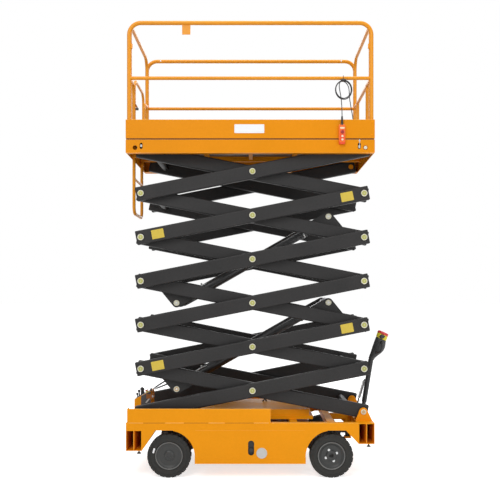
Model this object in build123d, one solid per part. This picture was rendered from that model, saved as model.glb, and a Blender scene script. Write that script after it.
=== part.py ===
from build123d import *
import math
import os

# Mobile scissor lift: a towable chassis on four solid tyres, six levels of crossed arms
# raised by two hydraulic cylinders, and a guarded work platform with a side gate.
#
# Millimetres.  +X points to the front (the end with the drive handle), +Y to the left side,
# +Z up, and Z = 0 is the ground.  Everything is laid out from the middle of the chassis;
# ORIGIN_X then moves the model so that the origin lies under the middle of its outer box.
ORIGIN_X = 114.57

# ---- overall --------------------------------------------------------------------------
WIDTH = 1120.0                  # chassis and platform alike
ARM_PITCH = 2100.0              # between the two end pivots of an arm
LEVELS = 6
REST_ANGLE = 11.11              # arms above the horizontal as it stands
PLATFORM_BEYOND_PIVOTS = 85.0   # at each end
CHASSIS_BEYOND_PIVOTS = 83.0

# ---- platform -------------------------------------------------------------------------
SKIRT_SHEET = 8.0               # sheet of the platform's skirt and toe boards
END_SHEET = 4.0                 # plates across its ends
TRACK_FOLD = 6.0                # fold that the top rollers run on
RIM_WIDTH = 50.0                # rim round the deck, level with it
GROOVE = 4.0                    # depth of the groove between skirt and toe boards
GROOVE_DROP = 8.0               # its edges below the deck's two faces
DECK_THICKNESS = 12.0
TOE_BOARD_HEIGHT = 163.0        # above the deck
SLOT_X = 994.0                  # long slots in the platform's skirt
SLOT_WIDTH = 27.0
SLOT_HEIGHT = 57.0
SLOT_UP = 16.0                  # above the top pivots, like the holes
HOLE_RADIUS = 21.0
PIVOT_STUB_RADIUS = 15.0
PIVOT_BELOW_ARM = 16.0          # from the deck down to the top arm's upper face
STRINGER_INSIDE = 32.0          # stringers inboard of the inner arms
STRINGER_WIDTH = 40.0
STRINGER_HEIGHT = 50.0
DECK_BEARER_HEIGHT = 36.0
DECK_BEARER_WIDTH = 40.0
DECK_BEARERS = 5
DECK_BEARER_PITCH = 440.0

# ---- guardrails -----------------------------------------------------------------------
RAIL_TOP = 1071.0               # top of the guardrail above the deck
RAIL_RADIUS = 19.0
MID_RAIL_RADIUS = 16.0
MID_RAIL_UP = 547.0             # middle rail above the deck
RAIL_BEND = 108.0
SIGN_TAB = (-623.0, -547.0)     # plate under the right top rail, its ends in X
SIGN_TAB_DROP = 106.0
END_FRAME_INSET = 29.0          # end rails inboard of the platform's ends
END_POST_INSET = 68.0           # their posts inboard of its sides
FRONT_UPRIGHT_Y = 300.0
UPRIGHT_RADIUS = 15.0
GATE_HALF_WIDTH = 262.0
GATE_HEIGHT = 620.0
GATE_RAIL_RADIUS = 13.0
GATE_POST_GAP = 9.0             # gate to the posts beside it
GATE_BEND = 90.0
GATE_GAP = 8.0                  # gate to the deck and to the toe boards
GATE_PLATE = 6.0

# ---- ladder ---------------------------------------------------------------------------
LADDER_HALF_WIDTH = 228.0
LADDER_DROP = 532.0             # below the platform's skirt
LADDER_RADIUS = 15.0
LADDER_BEND = 70.0
LADDER_RUNG_DROP = 182.0
LADDER_RUNG_RADIUS = 12.0
LADDER_TOP_DROP = 30.0          # its tubes end this far below the deck

# ---- scissor arms ---------------------------------------------------------------------
ARM_HEIGHT = 130.0
ARM_WIDTH = 60.0
ARM_WALL = 6.0
ARM_CORNER = 12.0
ARM_END = 44.0                  # arm beyond its end pivots
ARM_CHAMFER = 5.0
ARM_GAP = 8.0                   # between an outer and an inner arm
OUTER_ARM_INSET = 110.0         # outer arms' middle inboard of the sides
PIN_RADIUS = 25.0
PIN_CLEARANCE = 0.06            # running fit of a pin in its boss
OPEN_PIN_CLEARANCE = 0.6        # where a closed loop of arms is opened
PIN_HEAD_RIM = 4.0              # head beyond the pin's radius
PIN_HEAD = 7.0
BOSS_WALL = 13.0
BOSS_PROUD = 3.0                # boss faces beyond the arm's sides
CROSS_TUBE_U = 930.0            # cross tubes of the inner frames, from the middle pivot
CROSS_TUBE_RADIUS = 30.0

# ---- lift cylinders -------------------------------------------------------------------
CYLINDER_U = 700.0              # cylinder pins along the inner arm, from its middle pivot
CYLINDER_V = 140.0              # and across it
CYLINDER_LEVELS = ((1, 3), (3, 5))   # level of the barrel's pin, level of the rod's pin
PLATE_THICKNESS = 16.0
PLATE_HALF_BASE = 155.0
PLATE_FOOT = 30.0               # its foot this far inside the arm's edge
PLATE_FOOT_RADIUS = 24.0
PLATE_WALL = 17.0
BARREL_RADIUS = 48.0
BARREL_WALL = 8.0
GLAND_RIM = 5.0                 # gland beyond the barrel's radius
GLAND_LENGTH = 70.0
GLAND_LAND = 40.0               # the rod's bearing inside it
BARREL_LENGTH = 1420.0          # from the eye's centre to the gland's face
BARREL_FLOOR = 105.0
BARREL_START = 20.0
ROD_RADIUS = 30.0
ROD_LENGTH = 1365.0             # from the eye's centre to its inner end
EYE_WALL = 19.0
EYE_WIDTH = 90.0
SHAFT_GAP = 5.0                 # the rods' cross shafts end this far short of their plates

# ---- wheels and axles -----------------------------------------------------------------
WHEEL_FROM_END = 388.0          # axles inboard of the chassis ends
WHEEL_INSET = 35.0              # tyres' outer faces inboard of the sides
TYRE_RADIUS = 200.0
TYRE_WIDTH = 100.0
RIM_RADIUS = 125.0
REAR_DISH = 20.0
FRONT_DISH = 26.0
STUB_INSET = 14.0               # stub axles end inside the tyres' faces
KINGPIN_INSET = 90.0            # kingpins inboard of the wheels' middle
KINGPIN_RADIUS = 11.0
KINGPIN_HEAD = 56.0             # half its length
STUB_RADIUS = 20.0
HUB_RADIUS = 46.0
STEER_ARM = 110.0               # knuckle arms and pitman arm, all alike
TIE_ROD_UP = 92.0               # tie rod above the axle
TIE_ROD_RADIUS = 11.0
STEER_EYE_RADIUS = 18.0
STEER_EYE_HALF = 13.0
STEER_PIN_RADIUS = 8.0
STEER_PIN_SLACK = 0.5           # where the parallel steering links are opened
AXLE_HALF = 35.0
AXLE_TUBE_RADIUS = 42.0
FORK_HALF = 48.0
FORK_MOUTH = 33.0
FORK_SETBACK = 38.0             # the beam ends short of the kingpins
REAR_HANGER_INSET = 175.0       # axle hangers inboard of the wheels' middle
FRONT_HANGER_INSET = 105.0      # and of the kingpins
GEARCASE_RADIUS = 88.0
MOTOR_RADIUS = 70.0

# ---- chassis --------------------------------------------------------------------------
CHANNEL_OVER_TYRE = 41.0
CHANNEL_HEIGHT = 68.0
CHANNEL_FLANGE = 60.0
CHASSIS_SHEET = 6.0
PIVOT_OVER_CHANNEL = 81.0
SOCKET_LENGTH = 144.0           # two tubes side by side, along X
SOCKET_HEIGHT = 186.0
SOCKET_WALL = 4.0
TOP_PLATE = 5.0
REAR_GUSSET = 125.0
FRONT_GUSSET = 117.0
BODY_BOTTOM = 136.0
ARCH_CLEARANCE = 40.0
SKIRT_LIP = 40.0
TRAY_BEHIND_ARCH = 21.0
TRAY_GAP = 1.0                  # tray to the skirts' lips
TRAY_WALL_TOP = 240.0
VALVE_X = 8.0                   # lowering valve behind a slot in the right skirt
VALVE_Z = 281.0
VALVE_SLOT_WIDTH = 55.0
VALVE_SLOT_HEIGHT = 136.0
VALVE_DEPTH = 60.0
VALVE_RIM = 16.0
VALVE_POCKET = 22.0
VALVE_KNOB_RADIUS = 17.0
VALVE_KNOB_Z = 262.0
TRACK_REAR_INSET = 11.0
TRACK_LENGTH = 1307.0
TRACK_GUARD_RISE = 48.0         # guard above the lowest pivots
ROLLER_RADIUS = 40.0
ROLLER_WIDTH = 40.0
ROLLER_SIDE_GAP = 2.0           # roller to the arm's boss
TOP_ROLLER_RADIUS = 38.0
ROLLER_CLEARANCE = 0.5
TRACK_EDGE_GAP = 4.0            # tracks and platform folds clear of the arms
BRACKET_THICKNESS = 16.0
BRACKET_WALL = 14.0
BRACKET_GAP = 12.0
BRACKET_PIN_END = 8.0
MIDDLE_TUBE_X = 400.0
CHASSIS_TUBE_WIDTH = 70.0
COVER_RISE = 27.0
COVER_HALF_WIDTH = 330.0
COVER_REAR = -500.0
COVER_FRONT = 590.0
COVER_SHEET = 3.0
HOOD_RISE = 87.0                # hood over the batteries and pump
HOOD_REAR = -470.0
HOOD_FRONT = 556.0
HOOD_HALF_WIDTH = 322.0
POWER_HALF_LENGTH = 360.0
POWER_HALF_WIDTH = 290.0
POWER_HEADROOM = 20.0
POWER_REAR = -590.0            # its upper parts reach into the arches
POWER_REAR_BOTTOM = 246.0
POWER_FRONT = 575.0
POWER_FRONT_BOTTOM = 300.0

# ---- steering column and drive handle --------------------------------------------------
COLUMN_BEHIND_SOCKETS = 34.0
COLUMN_FOOT_DROP = 30.0         # lower bearing below the tie rod
COLUMN_FOOT = 16.0
COLUMN_FOOT_WIDTH = 80.0
COLUMN_RADIUS = 20.0
SLEEVE_RADIUS = 32.0
SLEEVE_DROP = 20.0              # below the channels
HANDLE_FROM_FRONT = 20.0
HANDLE_PIVOT_RISE = 37.0        # above the channels
HANDLE_PIN_RADIUS = 10.0
HANDLE_LEAN = 9.1
HANDLE_LENGTH = 509.0           # from its pivot to the head
HANDLE_RADIUS = 19.5
YOKE_INNER = 22.0
YOKE_OUTER = 34.0
HEAD_LEAN = 27.4
HEAD_BODY = 190.0               # black body, yellow collar and red button along it
HEAD_COLLAR = 243.0
HEAD_LENGTH = 271.0
HEAD_SOCKET = 30.0              # how far the bar goes into the head

# ---- ground control box -----------------------------------------------------------------
CONTROL_HALF_WIDTH = 110.0
CONTROL_LENGTH = 162.0
CONTROL_LOW_RISE = 148.0        # its panel's low and high edge above the channels
CONTROL_HIGH_RISE = 224.0
CONTROL_SHELF = 15.0

# ---- worked out from the above ----------------------------------------------------------
LEAN = math.radians(REST_ANGLE)
HALF_WIDTH = WIDTH / 2
HALF_PITCH = ARM_PITCH / 2
PIVOT_X = HALF_PITCH            # the fixed pivots, at the front end
HALF_LENGTH = HALF_PITCH + PLATFORM_BEYOND_PIVOTS
CHASSIS_HALF_LENGTH = HALF_PITCH + CHASSIS_BEYOND_PIVOTS
FRONT_SOCKET_X = CHASSIS_HALF_LENGTH - SOCKET_LENGTH
AXLE_Z = TYRE_RADIUS
CHANNEL_BOTTOM = 2 * TYRE_RADIUS + CHANNEL_OVER_TYRE
CHANNEL_TOP = CHANNEL_BOTTOM + CHANNEL_HEIGHT
BASE_PIVOT_Z = CHANNEL_TOP + PIVOT_OVER_CHANNEL
LEVEL_RISE = ARM_PITCH * math.sin(LEAN)
CENTRE_X = PIVOT_X - ARM_PITCH * math.cos(LEAN) / 2
REAR_PIVOT_X = PIVOT_X - ARM_PITCH * math.cos(LEAN)
TOP_PIVOT_Z = BASE_PIVOT_Z + LEVELS * LEVEL_RISE
DECK_BOTTOM = TOP_PIVOT_Z + ARM_HEIGHT / 2 + PIVOT_BELOW_ARM
DECK_TOP = DECK_BOTTOM + DECK_THICKNESS
SKIRT_BOTTOM = TOP_PIVOT_Z - TOP_ROLLER_RADIUS - TRACK_FOLD
SKIRT_TOP = DECK_BOTTOM - GROOVE_DROP
TOE_BOTTOM = DECK_TOP - GROOVE_DROP
RAIL_Z = DECK_TOP + RAIL_TOP - RAIL_RADIUS
MID_RAIL_Z = DECK_TOP + MID_RAIL_UP
POST_Y = HALF_WIDTH - SKIRT_SHEET - RAIL_RADIUS
SIDE_POST_X = HALF_LENGTH - SKIRT_SHEET - RAIL_RADIUS
END_FRAME_X = HALF_LENGTH - END_FRAME_INSET
END_POST_Y = HALF_WIDTH - END_POST_INSET
GATE_POST_Y = GATE_HALF_WIDTH + GATE_RAIL_RADIUS + MID_RAIL_RADIUS + GATE_POST_GAP
OUTER_ARM_Y = HALF_WIDTH - OUTER_ARM_INSET
INNER_ARM_Y = OUTER_ARM_Y - ARM_WIDTH - ARM_GAP
OUTER_FACE = OUTER_ARM_Y + ARM_WIDTH / 2
INNER_FACE = INNER_ARM_Y - ARM_WIDTH / 2
PLATE_INNER = INNER_FACE - PLATE_THICKNESS
STRINGER_Y = INNER_FACE - STRINGER_INSIDE
BOSS_RADIUS = PIN_RADIUS + BOSS_WALL
PIN_HEAD_RADIUS = PIN_RADIUS + PIN_HEAD_RIM
PLATE_APEX = PIN_RADIUS + PLATE_WALL
EYE_RADIUS = PIN_RADIUS + EYE_WALL
BRACKET_RADIUS = PIN_RADIUS + BRACKET_WALL
WHEEL_X = CHASSIS_HALF_LENGTH - WHEEL_FROM_END
WHEEL_FACE_Y = HALF_WIDTH - WHEEL_INSET
WHEEL_Y = WHEEL_FACE_Y - TYRE_WIDTH / 2
STUB_END = WHEEL_FACE_Y - STUB_INSET
KINGPIN_Y = WHEEL_Y - KINGPIN_INSET
TIE_ROD_Z = AXLE_Z + TIE_ROD_UP
ARCH_RADIUS = TYRE_RADIUS + ARCH_CLEARANCE
TRAY_HALF_LENGTH = WHEEL_X - ARCH_RADIUS - TRAY_BEHIND_ARCH
REAR_SOCKET_BOTTOM = CHANNEL_BOTTOM - SOCKET_HEIGHT
FRONT_SOCKET_BOTTOM = CHANNEL_TOP - TOP_PLATE - SOCKET_HEIGHT
TRACK_REAR = -CHASSIS_HALF_LENGTH + TRACK_REAR_INSET
TRACK_FLOOR = BASE_PIVOT_Z - ROLLER_RADIUS
TRACK_GUARD_TOP = BASE_PIVOT_Z + TRACK_GUARD_RISE
CROSS_TUBES_X = (-WHEEL_X, -MIDDLE_TUBE_X, MIDDLE_TUBE_X, WHEEL_X)
COVER_TOP = CHANNEL_TOP + COVER_RISE
COLUMN_X = FRONT_SOCKET_X - COLUMN_BEHIND_SOCKETS
HANDLE_PIVOT_X = CHASSIS_HALF_LENGTH - HANDLE_FROM_FRONT
HANDLE_PIVOT_Z = CHANNEL_TOP + HANDLE_PIVOT_RISE

parts = {}


# ---- helpers ----------------------------------------------------------------------------
def block(x0, x1, y0, y1, z0, z1):
    return Pos((x0 + x1) / 2, (y0 + y1) / 2, (z0 + z1) / 2) * Box(x1 - x0, y1 - y0, z1 - z0)


def both_sides(shape):
    """The shape and its mirror image across the middle plane, as one fused or paired body."""
    return shape + mirror(shape, about=Plane.XZ)


def bar_y(x, z, radius, y0, y1):
    return Pos(x, (y0 + y1) / 2, z) * Rot(90, 0, 0) * Cylinder(radius, y1 - y0)


def bar_z(x, y, radius, z0, z1):
    return Pos(x, y, (z0 + z1) / 2) * Cylinder(radius, z1 - z0)


def bar(start, end, radius):
    """A round bar between two points."""
    a, b = Vector(*start), Vector(*end)
    middle = Plane(origin=(a + b) * 0.5, z_dir=b - a)
    return middle * Cylinder(radius, (b - a).length)


def side_plate(outline, y0, y1):
    """A plate with its outline drawn in X and Z, between two Y."""
    face = make_face(Plane.XZ.offset(-y1) * Polyline(*outline, close=True))
    return extrude(face, y1 - y0, dir=(0, -1, 0))


def along_x(outline, x0, x1):
    """A section with its outline drawn in Y and Z, run along X."""
    face = make_face(Plane.YZ.offset(x0) * Polyline(*outline, close=True))
    return extrude(face, x1 - x0, dir=(1, 0, 0))


def hull_plate(circles, y0, y1):
    """A plate that wraps round circles (x, z, radius) in the XZ plane."""
    edges = []
    for x, z, radius in circles:
        edges += (Pos(x, z) * Circle(radius)).edges()
    return extrude(Plane.XZ.offset(-y1) * make_hull(edges), y1 - y0, dir=(0, -1, 0))


def bent_tube(points, bend, radius):
    path = FilletPolyline(*points, radius=bend)
    section = Plane(origin=path @ 0, z_dir=path % 0) * Circle(radius)
    return sweep(section, path=path)


# ---- scissor arms -----------------------------------------------------------------------
def centre_z(level):
    return BASE_PIVOT_Z + (level - 0.5) * LEVEL_RISE


def arm_place(level, rises_forward):
    """Where an arm's own frame sits: u forward along the arm, v across it."""
    turn = -REST_ANGLE if rises_forward else REST_ANGLE
    return Pos(CENTRE_X, 0, centre_z(level)) * Rot(0, turn, 0)


def inner_point(level, u, v):
    """X and Z of a point given in an inner arm's own frame."""
    x = CENTRE_X + u * math.cos(LEAN) + v * math.sin(LEAN)
    z = centre_z(level) - u * math.sin(LEAN) + v * math.cos(LEAN)
    return x, z


def arm_beam(lane_y):
    """Hollow arm with a boss at each of its three pivots, before boring."""
    half = HALF_PITCH
    tube = RectangleRounded(ARM_WIDTH, ARM_HEIGHT, ARM_CORNER)
    tube -= RectangleRounded(
        ARM_WIDTH - 2 * ARM_WALL, ARM_HEIGHT - 2 * ARM_WALL, ARM_CORNER - ARM_WALL
    )
    beam = extrude(Plane.YZ * tube, half + ARM_END, both=True)
    reach, rise = half + ARM_END, ARM_HEIGHT / 2
    outline = [
        (-reach, -rise + ARM_CHAMFER), (-reach + ARM_CHAMFER, -rise),
        (reach - ARM_CHAMFER, -rise), (reach, -rise + ARM_CHAMFER),
        (reach, rise - ARM_CHAMFER), (reach - ARM_CHAMFER, rise),
        (-reach + ARM_CHAMFER, rise), (-reach, rise - ARM_CHAMFER),
    ]
    beam &= side_plate(outline, -ARM_WIDTH, ARM_WIDTH)
    side = ARM_WIDTH / 2 + BOSS_PROUD
    for u in (-half, 0, half):
        beam += bar_y(u, 0, BOSS_RADIUS, -side, side)
    return Pos(0, lane_y, 0) * beam


def outer_arms(level):
    """The pair of arms that rise to the front, with their pins."""
    half = HALF_PITCH
    arm = arm_beam(-OUTER_ARM_Y)
    head_face = -OUTER_FACE - BOSS_PROUD - PIN_HEAD
    pin_end = -INNER_FACE + BOSS_PROUD + PIN_HEAD
    pinned = [-half, 0, half]
    if level == 1:
        pinned.remove(-half)
        roller_in = -OUTER_FACE - BOSS_PROUD - ROLLER_SIDE_GAP
        arm += bar_y(-half, 0, PIN_RADIUS, roller_in, -OUTER_ARM_Y)
        arm += bar_y(-half, 0, ROLLER_RADIUS - ROLLER_CLEARANCE, roller_in - ROLLER_WIDTH, roller_in)
    if level == LEVELS:
        pinned.remove(half)
        arm -= bar_y(half, 0, PIN_RADIUS + PIN_CLEARANCE, -HALF_WIDTH, -INNER_FACE)
    for u in pinned:
        arm += bar_y(u, 0, PIN_RADIUS, -OUTER_ARM_Y, pin_end)
        arm += bar_y(u, 0, PIN_HEAD_RADIUS, head_face, -OUTER_FACE)
    return arm_place(level, True) * both_sides(arm)


def cylinder_plate(u, v, bore):
    """Triangular plate welded inside an inner arm, with its cylinder pin beyond the arm."""
    foot, r = math.copysign(ARM_HEIGHT / 2 - PLATE_FOOT, v), PLATE_FOOT_RADIUS
    circles = [(u - PLATE_HALF_BASE, foot, r), (u + PLATE_HALF_BASE, foot, r), (u, v, PLATE_APEX)]
    plate = hull_plate(circles, -INNER_FACE, -PLATE_INNER)
    if bore:
        plate -= bar_y(u, v, bore, -INNER_FACE - 1, -PLATE_INNER + 1)
    return plate


def inner_frame(level):
    """The pair of arms that fall to the front, with cross tubes and cylinder plates."""
    half = HALF_PITCH
    arm = arm_beam(-INNER_ARM_Y)
    arm -= bar_y(0, 0, PIN_RADIUS + PIN_CLEARANCE, -OUTER_ARM_Y, -INNER_FACE + BOSS_WALL)
    front_fit = PIN_CLEARANCE if level == 1 else OPEN_PIN_CLEARANCE
    arm -= bar_y(half, 0, PIN_RADIUS + front_fit, -OUTER_ARM_Y, -INNER_FACE + BOSS_WALL)
    if level < LEVELS:
        arm -= bar_y(-half, 0, PIN_RADIUS + PIN_CLEARANCE, -OUTER_ARM_Y, -INNER_FACE + BOSS_WALL)
    else:
        roller_out = -OUTER_FACE - BOSS_PROUD - ROLLER_SIDE_GAP
        arm += bar_y(-half, 0, PIN_RADIUS, roller_out, -INNER_ARM_Y)
        arm += bar_y(
            -half, 0, TOP_ROLLER_RADIUS - ROLLER_CLEARANCE, roller_out - ROLLER_WIDTH, roller_out
        )
    for base, top in CYLINDER_LEVELS:
        if level == base:
            arm += cylinder_plate(-CYLINDER_U, -CYLINDER_V, 0)
        if level == top:
            arm += cylinder_plate(CYLINDER_U, CYLINDER_V, PIN_RADIUS + OPEN_PIN_CLEARANCE)
    frame = both_sides(arm)
    for u in (-CROSS_TUBE_U, CROSS_TUBE_U):
        frame += bar_y(u, 0, CROSS_TUBE_RADIUS, -INNER_FACE - 1, INNER_FACE + 1)
    for base, _ in CYLINDER_LEVELS:
        if level == base:
            frame += bar_y(-CYLINDER_U, -CYLINDER_V, PIN_RADIUS, -PLATE_INNER - 1, PLATE_INNER + 1)
    return arm_place(level, False) * frame


# ---- lift cylinders ---------------------------------------------------------------------
def cylinder_ends(base, top):
    return inner_point(base, -CYLINDER_U, -CYLINDER_V), inner_point(top, CYLINDER_U, CYLINDER_V)


def cylinder_place(base, top):
    (x0, z0), (x1, z1) = cylinder_ends(base, top)
    climb = math.degrees(math.atan2(z1 - z0, x1 - x0))
    return Pos(x0, 0, z0) * Rot(0, -climb, 0), math.hypot(x1 - x0, z1 - z0)


def round_x(radius, x0, x1):
    return Pos((x0 + x1) / 2, 0, 0) * Rot(0, 90, 0) * Cylinder(radius, x1 - x0)


def cylinder_barrel():
    """Barrel along X from the eye at the origin to the gland, with its bore open."""
    land = BARREL_LENGTH - GLAND_LAND
    body = round_x(BARREL_RADIUS, BARREL_START, land)
    body += round_x(BARREL_RADIUS + GLAND_RIM, BARREL_LENGTH - GLAND_LENGTH, BARREL_LENGTH)
    body += bar_y(0, 0, EYE_RADIUS, -EYE_WIDTH / 2, EYE_WIDTH / 2)
    body -= round_x(BARREL_RADIUS - BARREL_WALL, BARREL_FLOOR, land)
    body -= round_x(ROD_RADIUS + PIN_CLEARANCE, land - 1, BARREL_LENGTH + 1)
    body -= bar_y(0, 0, PIN_RADIUS + PIN_CLEARANCE, -EYE_WIDTH, EYE_WIDTH)
    return body


def cylinder_rod(length):
    """Rod along X, its cross shaft at the far end where the plates of the upper arm are."""
    shaft_end = PLATE_INNER - SHAFT_GAP
    body = round_x(ROD_RADIUS, length - ROD_LENGTH, length)
    body += bar_y(length, 0, EYE_RADIUS, -EYE_WIDTH / 2, EYE_WIDTH / 2)
    return body + bar_y(length, 0, PIN_RADIUS, -shaft_end, shaft_end)


# ---- wheels -----------------------------------------------------------------------------
def tyre():
    """Solid tyre about Y, centred on the origin."""
    half = TYRE_WIDTH / 2
    crown = TYRE_RADIUS
    outline = Polyline(
        (RIM_RADIUS, -half + 10), (RIM_RADIUS + 22, -half + 3), (RIM_RADIUS + 40, -half),
    )
    wall, shoulder = crown - 20, crown - 4
    outline += Line((RIM_RADIUS + 40, -half), (wall, -half + 2))
    outline += ThreePointArc((wall, -half + 2), (crown - 8, -half + 8), (shoulder, -half + 18))
    outline += ThreePointArc((shoulder, -half + 18), (crown, 0), (shoulder, half - 18))
    outline += ThreePointArc((shoulder, half - 18), (crown - 8, half - 8), (wall, half - 2))
    outline += Polyline(
        (wall, half - 2), (RIM_RADIUS + 40, half), (RIM_RADIUS + 22, half - 3),
        (RIM_RADIUS, half - 10), (RIM_RADIUS, -half + 10),
    )
    return revolve(make_face(outline), Axis.Y)


def rim(dish):
    """Pressed wheel about Y with its outer face towards -Y; dish is how deep its disc sits."""
    half = TYRE_WIDTH / 2
    outline = [
        (STUB_RADIUS + PIN_CLEARANCE, -half + 12), (HUB_RADIUS - 10, -half + 8),
        (HUB_RADIUS, -half + 14), (HUB_RADIUS + 2, -half + dish),
        (RIM_RADIUS - 32, -half + dish), (RIM_RADIUS - 14, -half + 12),
        (RIM_RADIUS, -half + 10), (RIM_RADIUS, half - 10), (RIM_RADIUS - 10, half - 10),
        (RIM_RADIUS - 12, -half + dish + 22), (RIM_RADIUS - 26, -half + dish + 8),
        (HUB_RADIUS + 2, -half + dish + 8), (HUB_RADIUS, half - 16),
        (STUB_RADIUS + PIN_CLEARANCE, half - 16),
    ]
    return revolve(make_face(Polyline(*outline, close=True)), Axis.Y)


def wheel_place(x, side):
    """side is -1 on the right and +1 on the left, where the wheel is turned about Z."""
    return Pos(x, side * WHEEL_Y, AXLE_Z) * Rot(0, 0, 0 if side < 0 else 180)


def add_wheels():
    for end, x, dish in (("rear", -WHEEL_X, REAR_DISH), ("front", WHEEL_X, FRONT_DISH)):
        for name, side in (("right", -1), ("left", 1)):
            parts[f"tyre_{end}_{name}"] = wheel_place(x, side) * tyre()
            parts[f"rim_{end}_{name}"] = wheel_place(x, side) * rim(dish)


# ---- axles and steering -----------------------------------------------------------------
def rear_axle():
    """Drive axle: tube, gear case with its motor, two hangers and the stubs."""
    hub_face = WHEEL_Y - TYRE_WIDTH / 2 + STUB_INSET
    axle = bar_y(-WHEEL_X, AXLE_Z, AXLE_TUBE_RADIUS, -hub_face, hub_face)
    axle += bar_y(-WHEEL_X, AXLE_Z, STUB_RADIUS, -STUB_END, STUB_END)
    axle += bar_y(-WHEEL_X, AXLE_Z, GEARCASE_RADIUS, -120, 0)
    axle += bar_y(-WHEEL_X - 110, AXLE_Z + 20, MOTOR_RADIUS, -70, 150)
    axle += block(-WHEEL_X - 110, -WHEEL_X, -110, -20, AXLE_Z - 40, AXLE_Z + 70)
    hanger_y = WHEEL_Y - REAR_HANGER_INSET
    return axle + both_sides(
        block(-WHEEL_X - 40, -WHEEL_X + 40, -hanger_y - 10, -hanger_y + 10, AXLE_Z, CHANNEL_BOTTOM)
    )


def front_axle():
    """Steered axle: beam with a fork and kingpin at each end, hung by two plates."""
    x, y, beam_end = WHEEL_X, -KINGPIN_Y, KINGPIN_Y - FORK_SETBACK
    axle = block(
        x - AXLE_HALF, x + AXLE_HALF, -beam_end, beam_end, AXLE_Z - AXLE_HALF, AXLE_Z + AXLE_HALF
    )
    fork = block(x - 24, x + 24, y, -beam_end + 10, AXLE_Z - FORK_HALF, AXLE_Z + FORK_HALF)
    fork += bar_z(x, y, 24, AXLE_Z - FORK_HALF, AXLE_Z + FORK_HALF)
    fork -= block(x - 40, x + 40, y - 40, -beam_end, AXLE_Z - FORK_MOUTH, AXLE_Z + FORK_MOUTH)
    fork += bar_z(x, y, KINGPIN_RADIUS, AXLE_Z - KINGPIN_HEAD, AXLE_Z + KINGPIN_HEAD)
    hanger_y = KINGPIN_Y - FRONT_HANGER_INSET
    hanger = block(x - 30, x + 30, -hanger_y - 8, -hanger_y + 8, AXLE_Z, CHANNEL_BOTTOM)
    return axle + both_sides(fork) + both_sides(hanger)


def knuckle():
    """Right-hand knuckle: kingpin barrel, stub axle and steering arm with its pin."""
    x, y = WHEEL_X, -KINGPIN_Y
    body = bar_z(x, y, 22, AXLE_Z - FORK_MOUTH + 3, AXLE_Z + FORK_MOUTH - 3)
    body += bar_y(x, AXLE_Z, STUB_RADIUS, -STUB_END, y)
    body += bar_y(x, AXLE_Z, 28, -WHEEL_Y + TYRE_WIDTH / 2 - 16, y - 30)
    body -= bar_z(x, y, KINGPIN_RADIUS + PIN_CLEARANCE, AXLE_Z - KINGPIN_HEAD, AXLE_Z + KINGPIN_HEAD)
    arm = block(x - STEER_ARM, x - 16, y - 9, y + 9, AXLE_Z - 4, AXLE_Z + 18)
    arm += bar_z(x - STEER_ARM, y, STEER_EYE_RADIUS, AXLE_Z - 4, AXLE_Z + 18)
    pin = bar_z(x - STEER_ARM, y, STEER_PIN_RADIUS, AXLE_Z, TIE_ROD_Z + STEER_EYE_HALF + 3)
    pin += bar_z(x - STEER_ARM, y, 14, AXLE_Z + 10, TIE_ROD_Z - STEER_EYE_HALF - 3)
    return body + arm + pin


def steering_links():
    """Tie rod between the knuckle arms, and the drag link to the column's pitman arm."""
    x, z = WHEEL_X - STEER_ARM, TIE_ROD_Z
    pitman_x = COLUMN_X - STEER_ARM
    links = bar((x, -KINGPIN_Y, z), (x, KINGPIN_Y, z), TIE_ROD_RADIUS)
    links += bar((x, 0, z), (pitman_x, 0, z), TIE_ROD_RADIUS)
    eyes = (
        (x, -KINGPIN_Y, PIN_CLEARANCE), (x, KINGPIN_Y, STEER_PIN_SLACK), (pitman_x, 0, STEER_PIN_SLACK),
    )
    for ex, ey, _ in eyes:
        links += bar_z(ex, ey, STEER_EYE_RADIUS, z - STEER_EYE_HALF, z + STEER_EYE_HALF)
    for ex, ey, gap in eyes:
        links -= bar_z(ex, ey, STEER_PIN_RADIUS + gap, z - 20, z + 20)
    return links


def steering_column():
    """Upright shaft with the pitman arm below and the handle's yoke above."""
    x, pitman_x, low = COLUMN_X, COLUMN_X - STEER_ARM, TIE_ROD_Z + 20
    column = bar_z(x, 0, COLUMN_RADIUS, TIE_ROD_Z - COLUMN_FOOT_DROP, HANDLE_PIVOT_Z)
    column += block(pitman_x, x, -12, 12, low, low + 20)
    column += bar_z(pitman_x, 0, STEER_EYE_RADIUS, low, low + 20)
    column += bar_z(pitman_x, 0, STEER_PIN_RADIUS, TIE_ROD_Z - 17, low + 10)
    yoke = block(
        x - 26, HANDLE_PIVOT_X - YOKE_OUTER, -YOKE_OUTER, YOKE_OUTER, CHANNEL_TOP + 8, HANDLE_PIVOT_Z + 16
    )
    ears = hull_plate(
        [(HANDLE_PIVOT_X, HANDLE_PIVOT_Z, 22), (HANDLE_PIVOT_X - 60, HANDLE_PIVOT_Z, 16)],
        YOKE_INNER, YOKE_OUTER,
    )
    yoke += both_sides(ears)
    yoke += bar_y(HANDLE_PIVOT_X, HANDLE_PIVOT_Z, HANDLE_PIN_RADIUS, -YOKE_OUTER - 2, YOKE_OUTER + 2)
    return column + yoke


def handle_place(distance):
    """A frame on the handle's own axis, this far from its pivot."""
    lean = math.radians(HANDLE_LEAN)
    x = HANDLE_PIVOT_X + distance * math.sin(lean)
    z = HANDLE_PIVOT_Z + distance * math.cos(lean)
    return Pos(x, 0, z) * Rot(0, HANDLE_LEAN, 0)


def drive_handle():
    """Round bar with the pivot's eye at its foot."""
    bar_body = bar_y(0, 0, HANDLE_PIN_RADIUS * 2, -YOKE_INNER + 1, YOKE_INNER - 1)
    bar_body += bar_z(0, 0, HANDLE_RADIUS, 0, HANDLE_LENGTH)
    bar_body -= bar_y(0, 0, HANDLE_PIN_RADIUS + PIN_CLEARANCE, -YOKE_INNER, YOKE_INNER)
    return handle_place(0) * bar_body


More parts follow.
